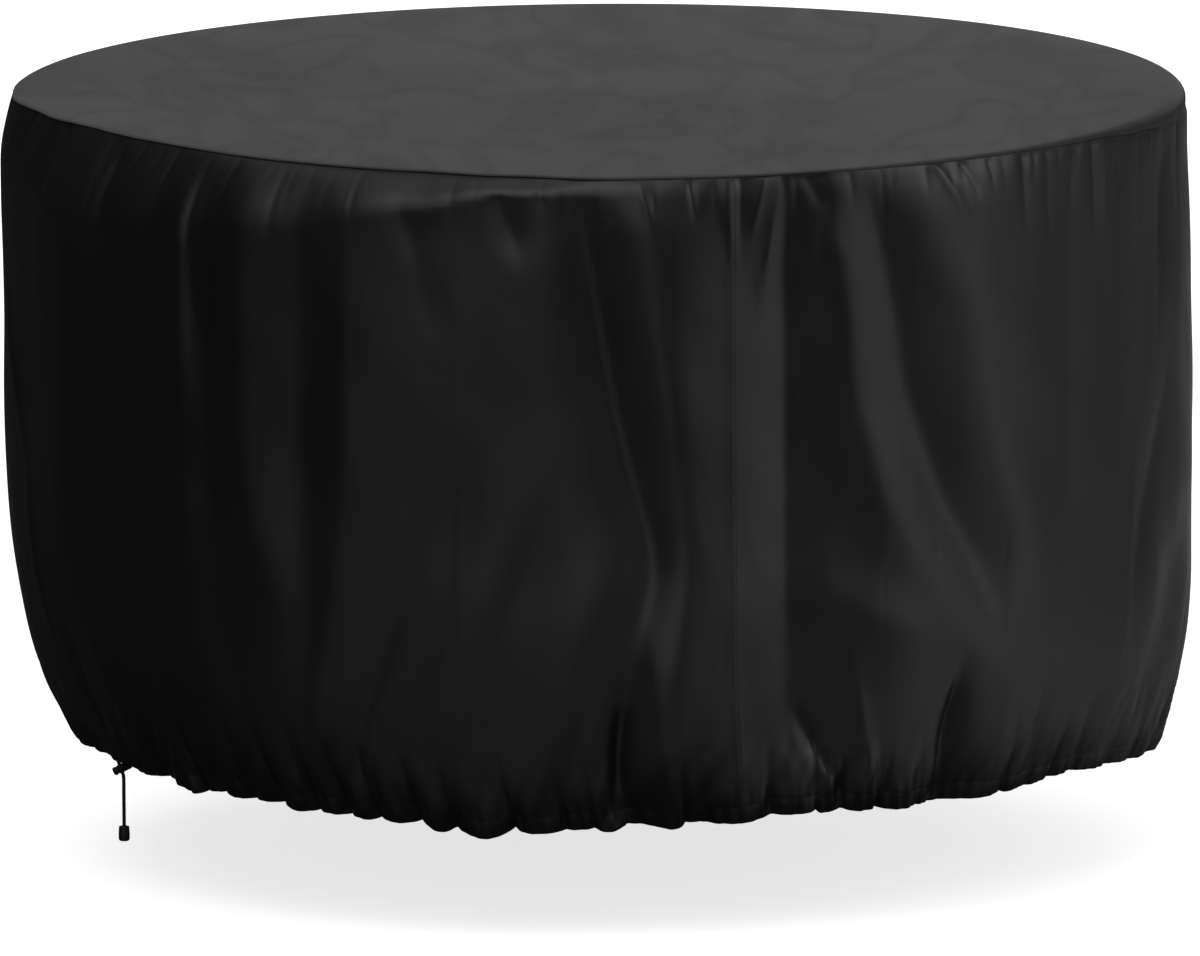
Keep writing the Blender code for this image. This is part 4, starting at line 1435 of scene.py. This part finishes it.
def moulded_plastic(groups):
    """Black moulded plastic with a fine grain, polished a little where it is handled."""
    material, tree, shader = new_finish("moulded plastic")
    place = add(tree, "ShaderNodeTexCoord").outputs["Object"]
    grain = add_grain(tree, groups, place, 4200.0)
    wear = add_wear(tree, groups, place, 90.0, 0.6)
    colour = tint(tree, wear["Patches"], (0.004, 0.004, 0.004), (0.009, 0.009, 0.009))
    rough = plus(tree, times(tree, wear["Patches"], -0.16), 0.46)
    normal = bump(tree, grain["Height"], 0.00004, 0.45)
    set_surface(tree, shader, colour, rough, normal, 1.38)
    return material


def give_finish(piece, material):
    piece.data.materials.clear()
    piece.data.materials.append(material)


# ---------------------------------------------------------------- floor, light

# The floor and the walls have two looks. The camera sees a plain pale floor. The cloth sees a
# dark room that glows from some directions only, and these say how strongly.
FLOOR_DROP = 0.83
FLOOR_HALF = 60.0
FLOOR_THROW = 0.04
FLOOR_GLOW = 0.75
FLOOR_LEFT = 0.18
FLOOR_RIGHT = 0.44
FLOOR_FAR_RIGHT = 0.62
FLOOR_BACK = 0.45
BACK_WALL = 0.02
FRONT_WALL = 1.05
FRONT_GAP = 0.05
RIGHT_WALL = 1.32
DIM_WALL = 0.002
CEILING = 0.60
RIGHT_WINDOW = (3.8, -1.2, 1.5)
RIGHT_WATTS = 20.0
BACK_WATTS = 38.0


def make_floor():
    """A plain pale floor to the camera. To the cloth it is nearly dark, with glowing patches at
    the left, the right, far to the right and behind."""
    ends = ((-FLOOR_HALF, -FLOOR_HALF), (FLOOR_HALF, -FLOOR_HALF))
    ends += ((FLOOR_HALF, FLOOR_HALF), (-FLOOR_HALF, FLOOR_HALF))
    points = np.array([(*end, -FLOOR_DROP) for end in ends])
    floor = mesh_piece("floor", points, [(0, 1, 2, 3)])
    material, tree, shader = new_finish("pale floor")
    shader.inputs["Roughness"].default_value = 0.9
    shader.inputs["Specular IOR Level"].default_value = 0.0
    shader.inputs["Emission Color"].default_value = (1.0, 1.0, 1.0, 1.0)
    seen = add(tree, "ShaderNodeLightPath").outputs["Is Camera Ray"]
    dull = (FLOOR_THROW,) * 3
    wire(tree, tint(tree, seen, dull, (0.80, 0.80, 0.80)), shader.inputs["Base Color"])
    place = add(tree, "ShaderNodeTexCoord").outputs["Object"]
    parts = add(tree, "ShaderNodeSeparateXYZ")
    wire(tree, place, parts.inputs[0])
    x = parts.outputs["X"]
    y = parts.outputs["Y"]
    length = add(tree, "ShaderNodeVectorMath", operation="LENGTH")
    wire(tree, place, length.inputs[0])
    far = length.outputs["Value"]
    x_way = maths(tree, "DIVIDE", x, far)
    y_way = maths(tree, "DIVIDE", y, far)
    not_ahead = spread(tree, x_way, 0.12, 0.27, 1.0, 0.0)
    close_by = spread(tree, far, 1.4, 1.9, 1.0, 0.0)
    left = times(
        tree,
        spread(tree, x, -1.3, -0.6, 0.0, FLOOR_LEFT),
        spread(tree, y, -0.8, -0.4, 1.0, 0.0),
        maths(tree, "MAXIMUM", not_ahead, close_by),
    )
    right = times(
        tree,
        spread(tree, x, 0.2, 0.75, 0.0, FLOOR_RIGHT),
        spread(tree, y, -1.25, -0.85),
        spread(tree, far, 1.6, 2.2, 1.0, 0.0),
        spread(tree, y, -0.5, 0.2, 1.0, 0.35),
    )
    near = times(tree, maths(tree, "MAXIMUM", left, right), spread(tree, far, 1.03, 1.24))
    beyond = times(
        tree,
        spread(tree, x_way, 0.58, 0.78, 0.0, FLOOR_FAR_RIGHT),
        spread(tree, y_way, -0.5, 0.4, 1.0, 0.22),
        spread(tree, far, 1.4, 2.2),
    )
    back = times(
        tree,
        spread(tree, x, -1.1, -0.3, 0.0, FLOOR_BACK),
        spread(tree, y, 0.9, 2.0),
        spread(tree, x, 0.8, 2.0, 1.0, 0.2),
    )
    glow = add(tree, "ShaderNodeMix", data_type="FLOAT")
    wire(tree, seen, glow.inputs[0])
    wire(tree, plus(tree, near, maths(tree, "MAXIMUM", beyond, back)), glow.inputs[2])
    wire(tree, FLOOR_GLOW, glow.inputs[3])
    wire(tree, glow.outputs[0], shader.inputs["Emission Strength"])
    give_finish(floor, material)


def area_light(name, place, aim, width, height, watts):
    light = bpy.data.lights.new(name, "AREA")
    light.shape = "RECTANGLE"
    light.size = width
    light.size_y = height
    light.energy = watts
    lamp = bpy.data.objects.new(name, light)
    bpy.context.scene.collection.objects.link(lamp)
    lamp.location = place
    lamp.rotation_mode = "QUATERNION"
    lamp.rotation_quaternion = (Vector(aim) - Vector(place)).to_track_quat("-Z", "Y")


def make_room():
    """The studio's far walls: lit in front, dark right of the middle, bright at the far right,
    and dim to the left and behind, under a pale ceiling."""
    world = bpy.data.worlds.new("studio walls")
    bpy.context.scene.world = world
    world.use_nodes = True
    tree = world.node_tree
    way = add(tree, "ShaderNodeSeparateXYZ")
    wire(tree, add(tree, "ShaderNodeTexCoord").outputs["Generated"], way.inputs[0])
    x, y, z = (way.outputs[axis] for axis in "XYZ")
    front = times(
        tree,
        spread(tree, y, -0.45, 0.25, FRONT_WALL, 0.0),
        spread(tree, x, -0.98, -0.30),
        spread(tree, x, 0.04, 0.24, 1.0, FRONT_GAP),
    )
    right = times(
        tree,
        spread(tree, x, 0.60, 0.78, 0.0, RIGHT_WALL),
        spread(tree, y, -0.6, 0.3, 1.0, 0.06),
    )
    walls = times(tree, plus(tree, front, right), spread(tree, z, -0.3, 0.7, 0.8, 1.2))
    behind = spread(tree, y, 0.55, 0.85, 0.0, BACK_WALL)
    ceiling = times(
        tree,
        spread(tree, z, 0.55, 0.90, 0.0, CEILING),
        spread(tree, x, -0.75, -0.20, 0.15, 1.0),
    )
    sky = tree.nodes["Background"]
    sky.inputs["Color"].default_value = (1.0, 1.0, 1.0, 1.0)
    wire(tree, plus(tree, walls, behind, ceiling, DIM_WALL), sky.inputs["Strength"])


def make_light():
    """Soft studio light: a large window at the right, and one behind that sheens the top."""
    area_light("right window", RIGHT_WINDOW, (0.0, 0.0, -0.30), 2.0, 2.0, RIGHT_WATTS)
    area_light("back window", (0.9, 7.5, 1.4), (0.0, 0.0, -0.10), 6.4, 2.4, BACK_WATTS)
    make_room()
    bpy.context.scene.view_settings.view_transform = "Standard"


# ---------------------------------------------------------------- putting it together


def main():
    make_camera()
    cord = make_drawcord()
    panel = make_top_panel()
    skirt = make_skirt()
    thread = make_stitching()
    groups = {
        "weave": build_woven_threads(),
        "crumple": build_soft_crumple(),
        "wear": build_handling_wear(),
        "grain": build_fine_grain(),
    }
    # The top panel and the skirt are the same black cloth. The top panel's lighter tone is painted
    # light, for the face that looks up to the light. The skirt's darker tone is painted shade.
    top_cloth_painted_lighter = coated_cloth(
        "top panel cloth painted lighter", groups, (0.009, 0.009, 0.010), (0.019, 0.019, 0.020), 0.50, 9.0, 0.00022
    )
    skirt_cloth = coated_cloth(
        "skirt cloth painted darker", groups, (0.005, 0.005, 0.005), (0.011, 0.011, 0.011), 0.36, 12.0, 0.0010
    )
    give_finish(panel, top_cloth_painted_lighter)
    give_finish(skirt, skirt_cloth)
    give_finish(cord, braided_cord(groups))
    give_finish(thread, thread_finish(groups))
    plastic = moulded_plastic(groups)
    for name in ("cord_lock_body", "cord_lock_button", "cord_end"):
        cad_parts[name].material_slots[0].material = plastic
    make_floor()
    make_light()


main()
